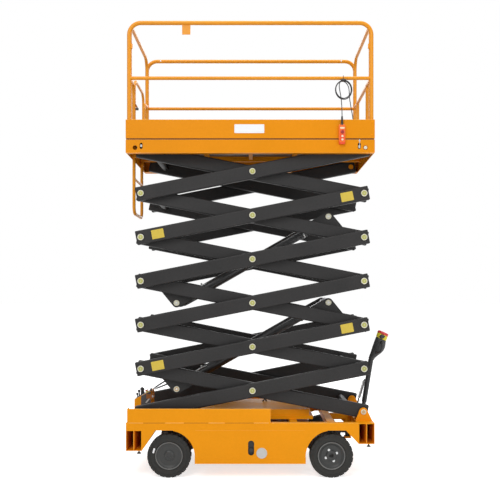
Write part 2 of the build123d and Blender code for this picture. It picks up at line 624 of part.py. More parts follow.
def head_place():
    lean = Rot(0, HEAD_LEAN - HANDLE_LEAN, 0)
    return handle_place(HANDLE_LENGTH - HEAD_SOCKET) * lean


def head_section(z, middle, half_x, half_y):
    return Pos(middle, 0, z) * Ellipse(half_x, half_y)


def handle_head():
    """Moulded body that widens to its collar, between two grip loops."""
    sections = (
        (0, -1, 25, 25), (63, 8, 43, 36), (130, 13, 55, 46), (HEAD_BODY - 15, 10, 56, 50),
        (HEAD_BODY, 6, 53, 48),
    )
    body = loft(Sketch() + [head_section(*section) for section in sections], ruled=False)
    loop = bent_tube([(10, 20, 45), (34, 112, 70), (40, 128, 160), (16, 20, 176)], 36, 13)
    body += both_sides(loop)
    return head_place() * body - drive_handle()


def head_collar():
    sections = ((HEAD_BODY, 6, 53, 48), (HEAD_COLLAR, 4, 53, 48))
    return head_place() * loft(Sketch() + [head_section(*section) for section in sections])


def head_button():
    """Wide button on the end of the head."""
    cap = extrude(head_section(HEAD_COLLAR, 5, 56, 51), HEAD_LENGTH - HEAD_COLLAR)
    cap = fillet(cap.edges().sort_by(Axis.Z)[-1], 10)
    return head_place() * cap


# ---- chassis ----------------------------------------------------------------------------
def side_channel():
    """Right-hand channel, open to the inside."""
    out, inn, t = -HALF_WIDTH, -HALF_WIDTH + CHANNEL_FLANGE, CHASSIS_SHEET
    low, high = CHANNEL_BOTTOM, CHANNEL_TOP
    outline = [
        (out, low), (inn, low), (inn, low + t), (out + t, low + t),
        (out + t, high - t), (inn, high - t), (inn, high), (out, high),
    ]
    return along_x(outline, -CHASSIS_HALF_LENGTH, FRONT_SOCKET_X)


def gusset(x_end, z_end, x_beam):
    """Web and sloping flange that brace a socket against the channel above it."""
    t, out, top = CHASSIS_SHEET, -HALF_WIDTH, CHANNEL_BOTTOM
    web = side_plate([(x_end, z_end), (x_end, top), (x_beam, top)], out, out + t)
    run, rise = x_beam - x_end, top - z_end
    slope = math.hypot(run, rise)
    thick_x, thick_z = math.copysign(t * slope / rise, run), t * slope / abs(run)
    flange = side_plate(
        [(x_end, z_end), (x_beam, top), (x_beam - thick_x, top), (x_end, z_end + thick_z)],
        out, out + CHANNEL_FLANGE,
    )
    return web + flange


def pivot_bracket():
    """Right-hand pair of plates with the pin that carries the lowest inner arm."""
    foot_a, foot_b = FRONT_SOCKET_X - 8, CHASSIS_HALF_LENGTH - 6
    outer = -INNER_ARM_Y - ARM_WIDTH / 2 - BRACKET_GAP
    inner = -INNER_FACE + BRACKET_GAP
    circles = [(foot_a, CHANNEL_TOP, 4), (foot_b, CHANNEL_TOP, 4), (PIVOT_X, BASE_PIVOT_Z, BRACKET_RADIUS)]
    plates = hull_plate(circles, outer - BRACKET_THICKNESS, outer)
    plates += hull_plate(circles, inner, inner + BRACKET_THICKNESS)
    beyond = BRACKET_THICKNESS + BRACKET_PIN_END
    return plates + bar_y(PIVOT_X, BASE_PIVOT_Z, PIN_RADIUS, outer - beyond, inner + beyond)


def chassis_frame():
    web = HALF_WIDTH - CHASSIS_SHEET / 2
    low, high = CHANNEL_BOTTOM + CHASSIS_SHEET, CHANNEL_TOP - CHASSIS_SHEET
    rear_socket = -CHASSIS_HALF_LENGTH + SOCKET_LENGTH
    right = side_channel()
    right += gusset(rear_socket, REAR_SOCKET_BOTTOM, rear_socket + REAR_GUSSET)
    right += gusset(FRONT_SOCKET_X, FRONT_SOCKET_BOTTOM, FRONT_SOCKET_X - FRONT_GUSSET)
    right += pivot_bracket()
    frame = both_sides(right)
    half = CHASSIS_TUBE_WIDTH / 2
    for x in (-CHASSIS_HALF_LENGTH + half, *CROSS_TUBES_X):
        frame += block(x - half, x + half, -web, web, low, high)
    frame += block(
        FRONT_SOCKET_X - 12, CHASSIS_HALF_LENGTH, -HALF_WIDTH, HALF_WIDTH,
        FRONT_SOCKET_BOTTOM + SOCKET_HEIGHT, CHANNEL_TOP,
    )
    sleeve = bar_z(COLUMN_X, 0, SLEEVE_RADIUS, CHANNEL_BOTTOM - SLEEVE_DROP, CHANNEL_TOP)
    sleeve += block(WHEEL_X + half - 1, COLUMN_X, -30, 30, low, high)
    sleeve -= bar_z(
        COLUMN_X, 0, COLUMN_RADIUS + PIN_CLEARANCE, CHANNEL_BOTTOM - 2 * SLEEVE_DROP, CHANNEL_TOP + 1
    )
    foot, half = TIE_ROD_Z - COLUMN_FOOT_DROP, COLUMN_FOOT_WIDTH / 2
    bracket = block(COLUMN_X - 28, FRONT_SOCKET_X, -half, half, foot, foot + COLUMN_FOOT)
    bracket -= bar_z(COLUMN_X, 0, COLUMN_RADIUS + PIN_CLEARANCE, foot - 1, foot + COLUMN_FOOT + 1)
    bracket += block(FRONT_SOCKET_X - 12, FRONT_SOCKET_X, -half, half, foot, CHANNEL_TOP)
    return frame + sleeve + bracket


def outrigger_sockets():
    """Two tubes side by side at each end, open at both sides of the chassis."""
    single, y, wall = SOCKET_LENGTH / 2, HALF_WIDTH, SOCKET_WALL
    sockets = []
    for x0, z0 in ((-CHASSIS_HALF_LENGTH, REAR_SOCKET_BOTTOM), (FRONT_SOCKET_X, FRONT_SOCKET_BOTTOM)):
        group = block(x0, x0 + SOCKET_LENGTH, -y, y, z0, z0 + SOCKET_HEIGHT)
        for x in (x0, x0 + single):
            group -= block(
                x + wall, x + single - wall, -y - 1, y + 1, z0 + wall, z0 + SOCKET_HEIGHT - wall
            )
        sockets.append(group)
    return sockets[0] + sockets[1]


def valve_slot(y0, y1):
    straight = (VALVE_SLOT_HEIGHT - VALVE_SLOT_WIDTH) / 2
    radius = VALVE_SLOT_WIDTH / 2
    ends = [(VALVE_X, VALVE_Z - straight, radius), (VALVE_X, VALVE_Z + straight, radius)]
    return hull_plate(ends, y0, y1)


def side_skirts():
    """Skirt panels between the wheels, their ends cut to the wheel arches."""
    t, out, low = CHASSIS_SHEET, -HALF_WIDTH, BODY_BOTTOM
    end, foot = WHEEL_X - ARCH_CLEARANCE, WHEEL_X - ARCH_RADIUS
    panel = block(-end, end, out, out + t, AXLE_Z, CHANNEL_BOTTOM)
    panel += block(-foot, foot, out, out + t, low, AXLE_Z)
    panel += block(-foot, foot, out + t, out + SKIRT_LIP, low, low + t)
    for x in (-WHEEL_X, WHEEL_X):
        panel -= bar_y(x, AXLE_Z, ARCH_RADIUS, out - 1, out + SKIRT_LIP + 1)
    return both_sides(panel) - valve_slot(out - 1, out + t + 1)


def lowering_valve():
    """Cup with a pull knob, closed against the slot from inside."""
    face, x, z = -HALF_WIDTH + CHASSIS_SHEET, VALVE_X, VALVE_Z
    half_x, half_z = VALVE_SLOT_WIDTH / 2 + VALVE_RIM, VALVE_SLOT_HEIGHT / 2 + VALVE_RIM
    cup = block(x - half_x, x + half_x, face, face + VALVE_DEPTH, z - half_z, z + half_z)
    cup -= valve_slot(face - 1, face + VALVE_POCKET)
    return cup + bar_y(x, VALVE_KNOB_Z, VALVE_KNOB_RADIUS, face + 4, face + VALVE_POCKET + 1)


def belly_tray():
    """Pan between the axles with its low end walls."""
    t, half, side = CHASSIS_SHEET, TRAY_HALF_LENGTH, HALF_WIDTH - SKIRT_LIP - TRAY_GAP
    tray = block(-half, half, -side, side, BODY_BOTTOM, BODY_BOTTOM + t)
    for x in (-half, half - t):
        tray += block(x, x + t, -side, side, BODY_BOTTOM, TRAY_WALL_TOP)
    return tray


def power_unit():
    """Batteries, pump and tank as one plain mass, wider above the tray's walls."""
    x, y, top = POWER_HALF_LENGTH, POWER_HALF_WIDTH, CHANNEL_BOTTOM - POWER_HEADROOM
    unit = block(-x, x, -y, y, BODY_BOTTOM + CHASSIS_SHEET, top)
    unit += block(POWER_REAR, 0, -y, y, POWER_REAR_BOTTOM, top)
    return unit + block(0, POWER_FRONT, -y, y, POWER_FRONT_BOTTOM, top)


def power_cover():
    """Folded cover over the middle of the chassis, seated on the cross tubes."""
    t, y, seat = COVER_SHEET, COVER_HALF_WIDTH, CHANNEL_TOP - CHASSIS_SHEET
    hood_y, hood_top = HOOD_HALF_WIDTH, CHANNEL_TOP + HOOD_RISE
    outer = block(COVER_REAR, COVER_FRONT, -y, y, seat, COVER_TOP)
    outer += block(HOOD_REAR, HOOD_FRONT, -hood_y, hood_y, seat, hood_top)
    outer -= block(COVER_REAR + t, COVER_FRONT - t, -y + t, y - t, seat - 1, COVER_TOP - t)
    return outer - block(
        HOOD_REAR + t, HOOD_FRONT - t, -hood_y + t, hood_y - t, seat - 1, hood_top - t
    )


def roller_tracks():
    """Folded tracks on the channels that guide the lowest rollers."""
    t, out, floor = CHASSIS_SHEET, -HALF_WIDTH, TRACK_FLOOR
    edge, leg, front = -OUTER_FACE - TRACK_EDGE_GAP, out + CHANNEL_FLANGE, TRACK_REAR + TRACK_LENGTH
    outline = [
        (out, CHANNEL_TOP), (out + t, CHANNEL_TOP), (out + t, floor - t), (leg - t, floor - t),
        (leg - t, CHANNEL_TOP), (leg, CHANNEL_TOP), (leg, floor - t), (edge, floor - t),
        (edge, floor), (out + t, floor), (out + t, TRACK_GUARD_TOP), (out, TRACK_GUARD_TOP),
    ]
    track = along_x(outline, TRACK_REAR, front)
    for x in (TRACK_REAR, front - t):
        track += block(x, x + t, out + t, edge, floor, TRACK_GUARD_TOP)
    return both_sides(track)


def ground_control_box():
    """Console with a sloping panel at the rear end of the chassis."""
    rear = -CHASSIS_HALF_LENGTH
    front, base = rear + CONTROL_LENGTH, CHANNEL_TOP
    outline = [
        (rear, base), (front, base), (front, base + CONTROL_HIGH_RISE),
        (front - CONTROL_SHELF, base + CONTROL_HIGH_RISE), (rear, base + CONTROL_LOW_RISE),
    ]
    return side_plate(outline, -CONTROL_HALF_WIDTH, CONTROL_HALF_WIDTH)


# ---- platform ---------------------------------------------------------------------------
def skirt_slot(x):
    straight, radius = (SLOT_HEIGHT - SLOT_WIDTH) / 2, SLOT_WIDTH / 2
    z = TOP_PIVOT_Z + SLOT_UP
    return hull_plate([(x, z - straight, radius), (x, z + straight, radius)], -HALF_WIDTH - 1, -POST_Y)


def platform_frame():
    """Skirts folded to tracks, rim round the deck, stringers, bearers and the front pivots."""
    t, out, inner = SKIRT_SHEET, -HALF_WIDTH, -HALF_WIDTH + RIM_WIDTH
    edge, groove = -OUTER_FACE - TRACK_EDGE_GAP, -HALF_WIDTH + GROOVE
    outline = [
        (out, SKIRT_BOTTOM), (edge, SKIRT_BOTTOM), (edge, SKIRT_BOTTOM + TRACK_FOLD),
        (out + t, SKIRT_BOTTOM + TRACK_FOLD), (out + t, DECK_BOTTOM), (inner, DECK_BOTTOM),
        (inner, DECK_TOP), (out + t, DECK_TOP), (out + t, TOE_BOTTOM), (groove, TOE_BOTTOM),
        (groove, SKIRT_TOP), (out, SKIRT_TOP),
    ]
    right = along_x(outline, -HALF_LENGTH + GROOVE, HALF_LENGTH - GROOVE)
    right += block(
        -HALF_LENGTH + 1, HALF_LENGTH - 1, -STRINGER_Y, -STRINGER_Y + STRINGER_WIDTH,
        DECK_BOTTOM - STRINGER_HEIGHT, DECK_BOTTOM,
    )
    pin_in = -OUTER_ARM_Y + ARM_WIDTH / 2 + BOSS_PROUD + 4
    boss_face = -OUTER_FACE - BOSS_PROUD - 3
    right += bar_y(PIVOT_X, TOP_PIVOT_Z, PIN_RADIUS + 9, out + t - 1, boss_face)
    for x in (-PIVOT_X, PIVOT_X):
        right -= bar_y(x, TOP_PIVOT_Z, HOLE_RADIUS, out - 1, out + t + 2)
        right -= skirt_slot(math.copysign(SLOT_X, x))
    right += bar_y(PIVOT_X, TOP_PIVOT_Z, PIVOT_STUB_RADIUS, out + 1, out + 2 * t)
    right += bar_y(PIVOT_X, TOP_PIVOT_Z, PIN_RADIUS, out + 2 * t, pin_in)
    frame = both_sides(right)
    half_y, rim_y = HALF_WIDTH, HALF_WIDTH - RIM_WIDTH + 1
    for end in (-1, 1):
        x0, x1, x2, x3, x4 = (
            end * (HALF_LENGTH - inset) for inset in (0, GROOVE, END_SHEET, SKIRT_SHEET, RIM_WIDTH)
        )
        frame += block(*sorted((x0, x2)), -half_y, half_y, SKIRT_BOTTOM, SKIRT_TOP)
        frame += block(*sorted((x1, x4)), -half_y + GROOVE, half_y - GROOVE, DECK_BOTTOM, TOE_BOTTOM)
        frame += block(*sorted((x1, x3)), -half_y + GROOVE, half_y - GROOVE, SKIRT_TOP - 1, DECK_BOTTOM)
        frame += block(*sorted((x3, x4)), -rim_y, rim_y, DECK_BOTTOM, DECK_TOP)
        frame -= block(
            *sorted((x0 + end, x3)), -half_y - 1, half_y + 1, TOE_BOTTOM, DECK_TOP + 1
        )
    first, half = -(DECK_BEARERS - 1) / 2 * DECK_BEARER_PITCH, DECK_BEARER_WIDTH / 2
    for k in range(DECK_BEARERS):
        x = first + k * DECK_BEARER_PITCH
        frame += block(
            x - half, x + half, -STRINGER_Y + 1, STRINGER_Y - 1, DECK_BOTTOM - DECK_BEARER_HEIGHT, DECK_BOTTOM
        )
    return frame


def deck():
    x, y = HALF_LENGTH - RIM_WIDTH, HALF_WIDTH - RIM_WIDTH
    return block(-x, x, -y, y, DECK_BOTTOM, DECK_TOP)


def toe_boards():
    """Boards round the deck, left open where the gate stands."""
    t, low, top = SKIRT_SHEET, TOE_BOTTOM, DECK_TOP + TOE_BOARD_HEIGHT
    x, y = HALF_LENGTH, HALF_WIDTH
    ring = block(-x, x, -y, y, low, top) - block(-x + t, x - t, -y + t, y - t, low - 1, top + 1)
    gate = GATE_HALF_WIDTH + GATE_RAIL_RADIUS + GATE_GAP
    return ring - block(-x - 1, -x + t + 1, -gate, gate, DECK_TOP, top + 1)


def side_guardrail():
    """Right-hand hoop with its middle rail."""
    x, y = SIDE_POST_X, -POST_Y
    hoop = bent_tube(
        [(-x, y, DECK_TOP), (-x, y, RAIL_Z), (x, y, RAIL_Z), (x, y, DECK_TOP)], RAIL_BEND, RAIL_RADIUS
    )
    return hoop + bar((-x, y, MID_RAIL_Z), (x, y, MID_RAIL_Z), MID_RAIL_RADIUS)


def right_guardrail():
    """The same, with a small plate for a sign under its top rail."""
    y = -POST_Y
    tab = block(*SIGN_TAB, y - 2, y + 2, RAIL_Z - SIGN_TAB_DROP, RAIL_Z - RAIL_RADIUS + 4)
    return side_guardrail() + tab


def end_hoop(x):
    y = END_POST_Y
    return bent_tube(
        [(x, -y, DECK_TOP), (x, -y, RAIL_Z), (x, y, RAIL_Z), (x, y, DECK_TOP)], RAIL_BEND, MID_RAIL_RADIUS
    )


def front_end_rail():
    rail = end_hoop(END_FRAME_X)
    rail += bar((END_FRAME_X, -END_POST_Y, MID_RAIL_Z), (END_FRAME_X, END_POST_Y, MID_RAIL_Z), MID_RAIL_RADIUS)
    for y in (-FRONT_UPRIGHT_Y, FRONT_UPRIGHT_Y):
        rail += bar_z(END_FRAME_X, y, UPRIGHT_RADIUS, DECK_TOP, MID_RAIL_Z)
    return rail


def rear_end_rail():
    """Rear hoop, with a quarter hoop each side of the gate."""
    x = -END_FRAME_X
    quarter = bent_tube(
        [(x, -END_POST_Y, MID_RAIL_Z), (x, -GATE_POST_Y, MID_RAIL_Z), (x, -GATE_POST_Y, DECK_TOP)],
        GATE_BEND, MID_RAIL_RADIUS,
    )
    return end_hoop(x) + both_sides(quarter)


def entry_gate():
    """Light hoop that closes the entry, with its own toe plate."""
    x, y, r = -END_FRAME_X, GATE_HALF_WIDTH, GATE_RAIL_RADIUS
    low, high = DECK_TOP + GATE_GAP, DECK_TOP + GATE_HEIGHT
    hoop = bent_tube([(x, -y, low), (x, -y, high), (x, y, high), (x, y, low)], GATE_BEND, r)
    half = GATE_PLATE / 2
    plate = block(x - half, x + half, -y, y, low, DECK_TOP + TOE_BOARD_HEIGHT)
    return hoop + plate


def ladder():
    """Tube bent to a U inside the rear end plate of the platform, with one rung."""
    x, y = -HALF_LENGTH + END_SHEET + LADDER_RADIUS, LADDER_HALF_WIDTH
    top, low = DECK_BOTTOM - LADDER_TOP_DROP, SKIRT_BOTTOM - LADDER_DROP + LADDER_RADIUS
    frame = bent_tube([(x, -y, top), (x, -y, low), (x, y, low), (x, y, top)], LADDER_BEND, LADDER_RADIUS)
    rung = SKIRT_BOTTOM - LADDER_RUNG_DROP
    return frame + bar((x, -y, rung), (x, y, rung), LADDER_RUNG_RADIUS)


# ---- hung pendant control and its cable ---------------------------------------------------
PENDANT_FROM_FRONT = 301.0      # inboard of the platform's front end
PENDANT_HALF_WIDTH = 29.0
PENDANT_DEPTH = 36.0
PENDANT_TOP = DECK_TOP + 111.0
PENDANT_HEIGHT = 177.0
PENDANT_CORNER = 7.0
RELIEF_LENGTH = 78.0
RELIEF_RADII = (12.0, 6.5)
CABLE_RADIUS = 4.0
COIL_FROM_FRONT = 285.0
COIL_UP = 436.0                 # above the deck
COIL_HALF_WIDTH = 82.0
COIL_HALF_HEIGHT = 92.0
COIL_BAND = 24.0
COIL_DEPTH = 30.0
GLAND_FROM_FRONT = 189.0
GLAND_INSET = 34.0              # inboard of the side
GLAND_NUT_RADIUS = 15.0
GLAND_NUT_HEIGHT = 16.0
GLAND_RADIUS = 9.0
GLAND_HEIGHT = 42.0
PENDANT_X = HALF_LENGTH - PENDANT_FROM_FRONT
PENDANT_Y = -HALF_WIDTH - PENDANT_DEPTH / 2
COIL_X = HALF_LENGTH - COIL_FROM_FRONT
GLAND_X = HALF_LENGTH - GLAND_FROM_FRONT
GLAND_Y = -HALF_WIDTH + GLAND_INSET
GLAND_END = (GLAND_X, GLAND_Y, DECK_TOP + GLAND_HEIGHT)
RELIEF_END = (PENDANT_X, PENDANT_Y, PENDANT_TOP + RELIEF_LENGTH)
CABLE_TO_COIL = [
    GLAND_END, (945, -528, 3232), (938, -532, 3300), (918, -534, 3400), (911, -534, 3480),
]
CABLE_TO_PENDANT = [
    (846, -540, 3612), (838, -556, 3570), (834, -562, 3500), (833, -566, 3420),
    (834, -575, 3350), RELIEF_END,
]


def cable_radii(points):
    """Each bend as large as its two runs allow."""
    radii = []
    for before, corner, after in zip(points, points[1:], points[2:]):
        a, b = Vector(*corner) - Vector(*before), Vector(*after) - Vector(*corner)
        turn = math.radians(a.get_angle(b))
        radii.append(0.45 * min(a.length, b.length) / math.tan(turn / 2))
    return radii


def cable_run(points):
    radii = cable_radii(points)
    path = FilletPolyline(*points, radius=radii)
    run = sweep(Plane(origin=path @ 0, z_dir=path % 0) * Circle(CABLE_RADIUS), path=path)
    expected = math.pi * CABLE_RADIUS ** 2 * path.length
    print("cable run", round(path.length), "mm, bends", [round(r) for r in radii],
          "volume ratio", round(run.volume / expected, 4))
    return run


def cable_coil():
    """The wound turns that hang on the middle rail, as one ring."""
    outer = Ellipse(COIL_HALF_WIDTH, COIL_HALF_HEIGHT)
    inner = Ellipse(COIL_HALF_WIDTH - COIL_BAND, COIL_HALF_HEIGHT - COIL_BAND)
    place = Plane(origin=(COIL_X, -POST_Y, DECK_TOP + COIL_UP), x_dir=(1, 0, 0), z_dir=(0, -1, 0))
    return extrude(place * (outer - inner), COIL_DEPTH / 2, both=True)


def cable_gland():
    half = GLAND_NUT_HEIGHT / 2
    nut = Pos(GLAND_X, GLAND_Y, DECK_TOP + half) * extrude(RegularPolygon(GLAND_NUT_RADIUS, 6), half, both=True)
    return nut + bar_z(GLAND_X, GLAND_Y, GLAND_RADIUS, DECK_TOP, DECK_TOP + GLAND_HEIGHT)


def pendant_control():
    """Hand-held control hung on the toe board, with its strain relief."""
    x, w, back = PENDANT_X, PENDANT_HALF_WIDTH, -HALF_WIDTH
    body = block(x - w, x + w, back - PENDANT_DEPTH, back, PENDANT_TOP - PENDANT_HEIGHT, PENDANT_TOP)
    body = fillet(body.edges().filter_by(Axis.Z), PENDANT_CORNER)
    relief = Cone(*RELIEF_RADII, RELIEF_LENGTH)
    return body + Pos(x, PENDANT_Y, PENDANT_TOP + RELIEF_LENGTH / 2) * relief


# ---- the model ----------------------------------------------------------------------------
def add_chassis():
    parts["chassis_frame"] = chassis_frame()
    parts["outrigger_sockets"] = outrigger_sockets()
    parts["side_skirts"] = side_skirts()
    parts["lowering_valve"] = lowering_valve()
    parts["belly_tray"] = belly_tray()
    parts["power_unit"] = power_unit()
    parts["power_cover"] = power_cover()
    parts["roller_tracks"] = roller_tracks()
    parts["ground_control_box"] = ground_control_box()
    parts["rear_axle"] = rear_axle()
    parts["front_axle"] = front_axle()


def add_steering():
    right = knuckle()
    parts["knuckle_right"] = right
    parts["knuckle_left"] = mirror(right, about=Plane.XZ)
    parts["steering_links"] = steering_links()
    parts["steering_column"] = steering_column()
    parts["drive_handle"] = drive_handle()
    parts["handle_head"] = handle_head()
    parts["head_collar"] = head_collar()
    parts["head_button"] = head_button()


def add_scissor():
    for level in range(1, LEVELS + 1):
        parts[f"outer_arms_{level}"] = outer_arms(level)
        parts[f"inner_frame_{level}"] = inner_frame(level)
    for name, (base, top) in zip(("lower", "upper"), CYLINDER_LEVELS):
        place, length = cylinder_place(base, top)
        parts[f"{name}_cylinder_barrel"] = place * cylinder_barrel()
        parts[f"{name}_cylinder_rod"] = place * cylinder_rod(length)


def add_platform():
    parts["platform_frame"] = platform_frame()
    parts["deck"] = deck()
    parts["toe_boards"] = toe_boards()
    parts["right_guardrail"] = right_guardrail()
    parts["left_guardrail"] = mirror(side_guardrail(), about=Plane.XZ)
    parts["front_end_rail"] = front_end_rail()
    parts["rear_end_rail"] = rear_end_rail()
    parts["entry_gate"] = entry_gate()
    parts["ladder"] = ladder()
    parts["pendant_control"] = pendant_control()
    parts["cable_gland"] = cable_gland()
    parts["cable_coil"] = cable_coil()
    parts["pendant_cable"] = Compound(children=[cable_run(CABLE_TO_COIL), cable_run(CABLE_TO_PENDANT)])


add_chassis()
add_wheels()
add_steering()
add_scissor()
add_platform()

os.makedirs("parts", exist_ok=True)
for name, shape in parts.items():
    export_step(Pos(-ORIGIN_X, 0, 0) * shape, f"parts/{name}.step")
print(len(parts), "parts")
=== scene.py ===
"""Looks of the mobile scissor lift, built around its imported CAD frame."""
import math

import bmesh
import bpy
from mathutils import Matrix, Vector


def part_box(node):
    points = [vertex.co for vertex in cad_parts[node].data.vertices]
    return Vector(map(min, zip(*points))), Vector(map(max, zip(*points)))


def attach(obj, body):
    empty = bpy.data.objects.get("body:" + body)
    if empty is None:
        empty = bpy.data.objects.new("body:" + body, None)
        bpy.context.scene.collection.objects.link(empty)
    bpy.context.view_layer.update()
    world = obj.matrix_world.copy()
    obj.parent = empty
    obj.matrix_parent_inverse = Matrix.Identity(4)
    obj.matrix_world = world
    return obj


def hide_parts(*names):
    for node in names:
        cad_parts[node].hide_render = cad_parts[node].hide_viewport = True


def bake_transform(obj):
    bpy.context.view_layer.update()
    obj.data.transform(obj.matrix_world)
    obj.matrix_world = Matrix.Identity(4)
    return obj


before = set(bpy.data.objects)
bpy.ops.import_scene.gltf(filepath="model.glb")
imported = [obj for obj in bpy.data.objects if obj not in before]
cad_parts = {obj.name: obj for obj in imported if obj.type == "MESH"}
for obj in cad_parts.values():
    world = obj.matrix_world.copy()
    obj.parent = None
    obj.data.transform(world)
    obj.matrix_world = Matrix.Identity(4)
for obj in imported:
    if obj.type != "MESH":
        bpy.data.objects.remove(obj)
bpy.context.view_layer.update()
scene = bpy.context.scene

# ---- sizes, in the chassis's own millimetres: X from its middle, Y from its middle plane -------
PITCH, LEVELS, REST = 2100.0, 6, math.radians(11.11)
RISE = PITCH * math.sin(REST)
BASE_PIVOT_Z = 590.0
TOP_PIVOT_Z = BASE_PIVOT_Z + LEVELS * RISE
PIVOT_X = PITCH / 2
REAR_PIVOT_X = PIVOT_X - PITCH * math.cos(REST)
CENTRE_X = (PIVOT_X + REAR_PIVOT_X) / 2
SIDE_FACE = 560.0               # half the chassis's and the platform's width
DECK_BOTTOM, DECK_TOP, SKIRT_BOTTOM = TOP_PIVOT_Z + 81.0, TOP_PIVOT_Z + 93.0, TOP_PIVOT_Z - 44.0
TOE_BOARD_TOP, RAIL_Z = DECK_TOP + 163.0, DECK_TOP + 1052.0
POST_Y = 533.0
REAR_SOCKET_BOTTOM, FRONT_SOCKET_BOTTOM = 255.0, 318.0
CHANNEL_TOP, HOOD_TOP = 509.0, 596.0
WHEEL_X, WHEEL_Y, AXLE_Z = 745.0, 475.0, 200.0
TYRE_HALF = 50.0                # half a tyre's width
SIDES = (("right", -1), ("left", 1))
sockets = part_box("outrigger_sockets")
SHIFT = (sockets[0].x + sockets[1].x) / 2


def place(x, y, z):
    """A point given in the chassis's millimetres, in the frame's metres."""
    return Vector((x / 1000 + SHIFT, y / 1000, z / 1000))


# ---- camera, light and floor -------------------------------------------------------------------
CAMERA_AT = (48, -6910, 1700)
LENS, CAMERA_SHIFT = 50.2, (-0.011, 0.0846)
WORLD_LIGHT, WORLD_SEEN = 0.42, 1.0
FLOOR_GREY, FLOOR_GLOW, FLOOR_REACH = 0.9, 0.68, 90.0
WHITE = (1, 1, 1, 1)


def make_camera():
    data = bpy.data.cameras.new("camera")
    data.sensor_width, data.lens = 36.0, LENS
    data.shift_x, data.shift_y = CAMERA_SHIFT
    data.clip_end = 200.0
    camera = bpy.data.objects.new("camera", data)
    camera.location = place(*CAMERA_AT)
    camera.rotation_euler = (math.pi / 2, 0, 0)
    scene.collection.objects.link(camera)
    scene.camera = camera


def nodes_of(owner):
    """Emptied node tree of a material or world, with its calls for new nodes and links."""
    owner.use_nodes = True
    tree = owner.node_tree
    tree.nodes.clear()
    return tree, tree.nodes.new, tree.links.new


def seen_or_mirrored(tree):
    """1 for camera, glossy and transmission rays, 0 for light that falls on the object."""
    path = tree.nodes.new("ShaderNodeLightPath")
    total = path.outputs["Is Camera Ray"]
    for name in ("Is Glossy Ray", "Is Transmission Ray"):
        most = tree.nodes.new("ShaderNodeMath")
        most.operation = "MAXIMUM"
        tree.links.new(total, most.inputs[0])
        tree.links.new(path.outputs[name], most.inputs[1])
        total = most.outputs[0]
    return total


def make_world():
    world = bpy.data.worlds.new("studio")
    scene.world = world
    tree, new, link = nodes_of(world)
    out, mix = new("ShaderNodeOutputWorld"), new("ShaderNodeMixShader")
    light, white = new("ShaderNodeBackground"), new("ShaderNodeBackground")
    light.inputs[0].default_value, light.inputs[1].default_value = WHITE, WORLD_LIGHT
    white.inputs[0].default_value, white.inputs[1].default_value = WHITE, WORLD_SEEN
    link(seen_or_mirrored(tree), mix.inputs[0])
    link(light.outputs[0], mix.inputs[1])
    link(white.outputs[0], mix.inputs[2])
    link(mix.outputs[0], out.inputs[0])


def area_light(name, at, target, size, power):
    data = bpy.data.lights.new(name, "AREA")
    data.shape, data.size, data.energy = "DISK", size, power
    lamp = bpy.data.objects.new(name, data)
    lamp.location = at
    lamp.rotation_euler = (Vector(target) - Vector(at)).to_track_quat("-Z", "Y").to_euler()
    scene.collection.objects.link(lamp)


def make_floor():
    mesh = bpy.data.meshes.new("floor")
    r = FLOOR_REACH
    mesh.from_pydata([(-r, -r, 0), (r, -r, 0), (r, r, 0), (-r, r, 0)], [], [(0, 1, 2, 3)])
    floor = bpy.data.objects.new("floor", mesh)
    scene.collection.objects.link(floor)
    material = bpy.data.materials.new("floor")
    tree, new, link = nodes_of(material)
    out, mix = new("ShaderNodeOutputMaterial"), new("ShaderNodeAddShader")
    matte, glow = new("ShaderNodeBsdfDiffuse"), new("ShaderNodeEmission")
    matte.inputs[0].default_value = (FLOOR_GREY, FLOOR_GREY, FLOOR_GREY, 1)
    scale = new("ShaderNodeMath")
    scale.operation = "MULTIPLY"
    scale.inputs[1].default_value = FLOOR_GLOW
    link(seen_or_mirrored(tree), scale.inputs[0])
    link(scale.outputs[0], glow.inputs[1])
    link(matte.outputs[0], mix.inputs[0])
    link(glow.outputs[0], mix.inputs[1])
    link(mix.outputs[0], out.inputs[0])
    mesh.materials.append(material)


make_camera()
make_world()
make_floor()
area_light("key", (-2.5, -7.0, 7.5), (0, 0, 2.0), 5.0, 300)
area_light("fill", (5.0, -6.0, 3.5), (0, 0, 2.0), 5.0, 125)
area_light("top", (0.5, -0.5, 9.0), (0, 0, 3.0), 5.0, 300)
area_light("back", (0.0, 8.0, 6.0), (0, 0, 2.5), 6.0, 200)
scene.view_settings.view_transform = "Standard"


# ---- materials ---------------------------------------------------------------------------------
BROAD_GRAIN, BROAD_SHARE, SMALL_SHARE = 2.3, 0.65, 0.35
DARK_BELOW, LIGHT_ABOVE = 0.32, 0.68
COAT_ROUGHNESS, RELIEF_DEPTH = 0.15, 0.002


def noise_texture(tree, coordinates, scale, detail):
    noise = tree.nodes.new("ShaderNodeTexNoise")
    noise.inputs["Scale"].default_value, noise.inputs["Detail"].default_value = scale, detail
    tree.links.new(coordinates.outputs["Object"], noise.inputs["Vector"])
    return noise


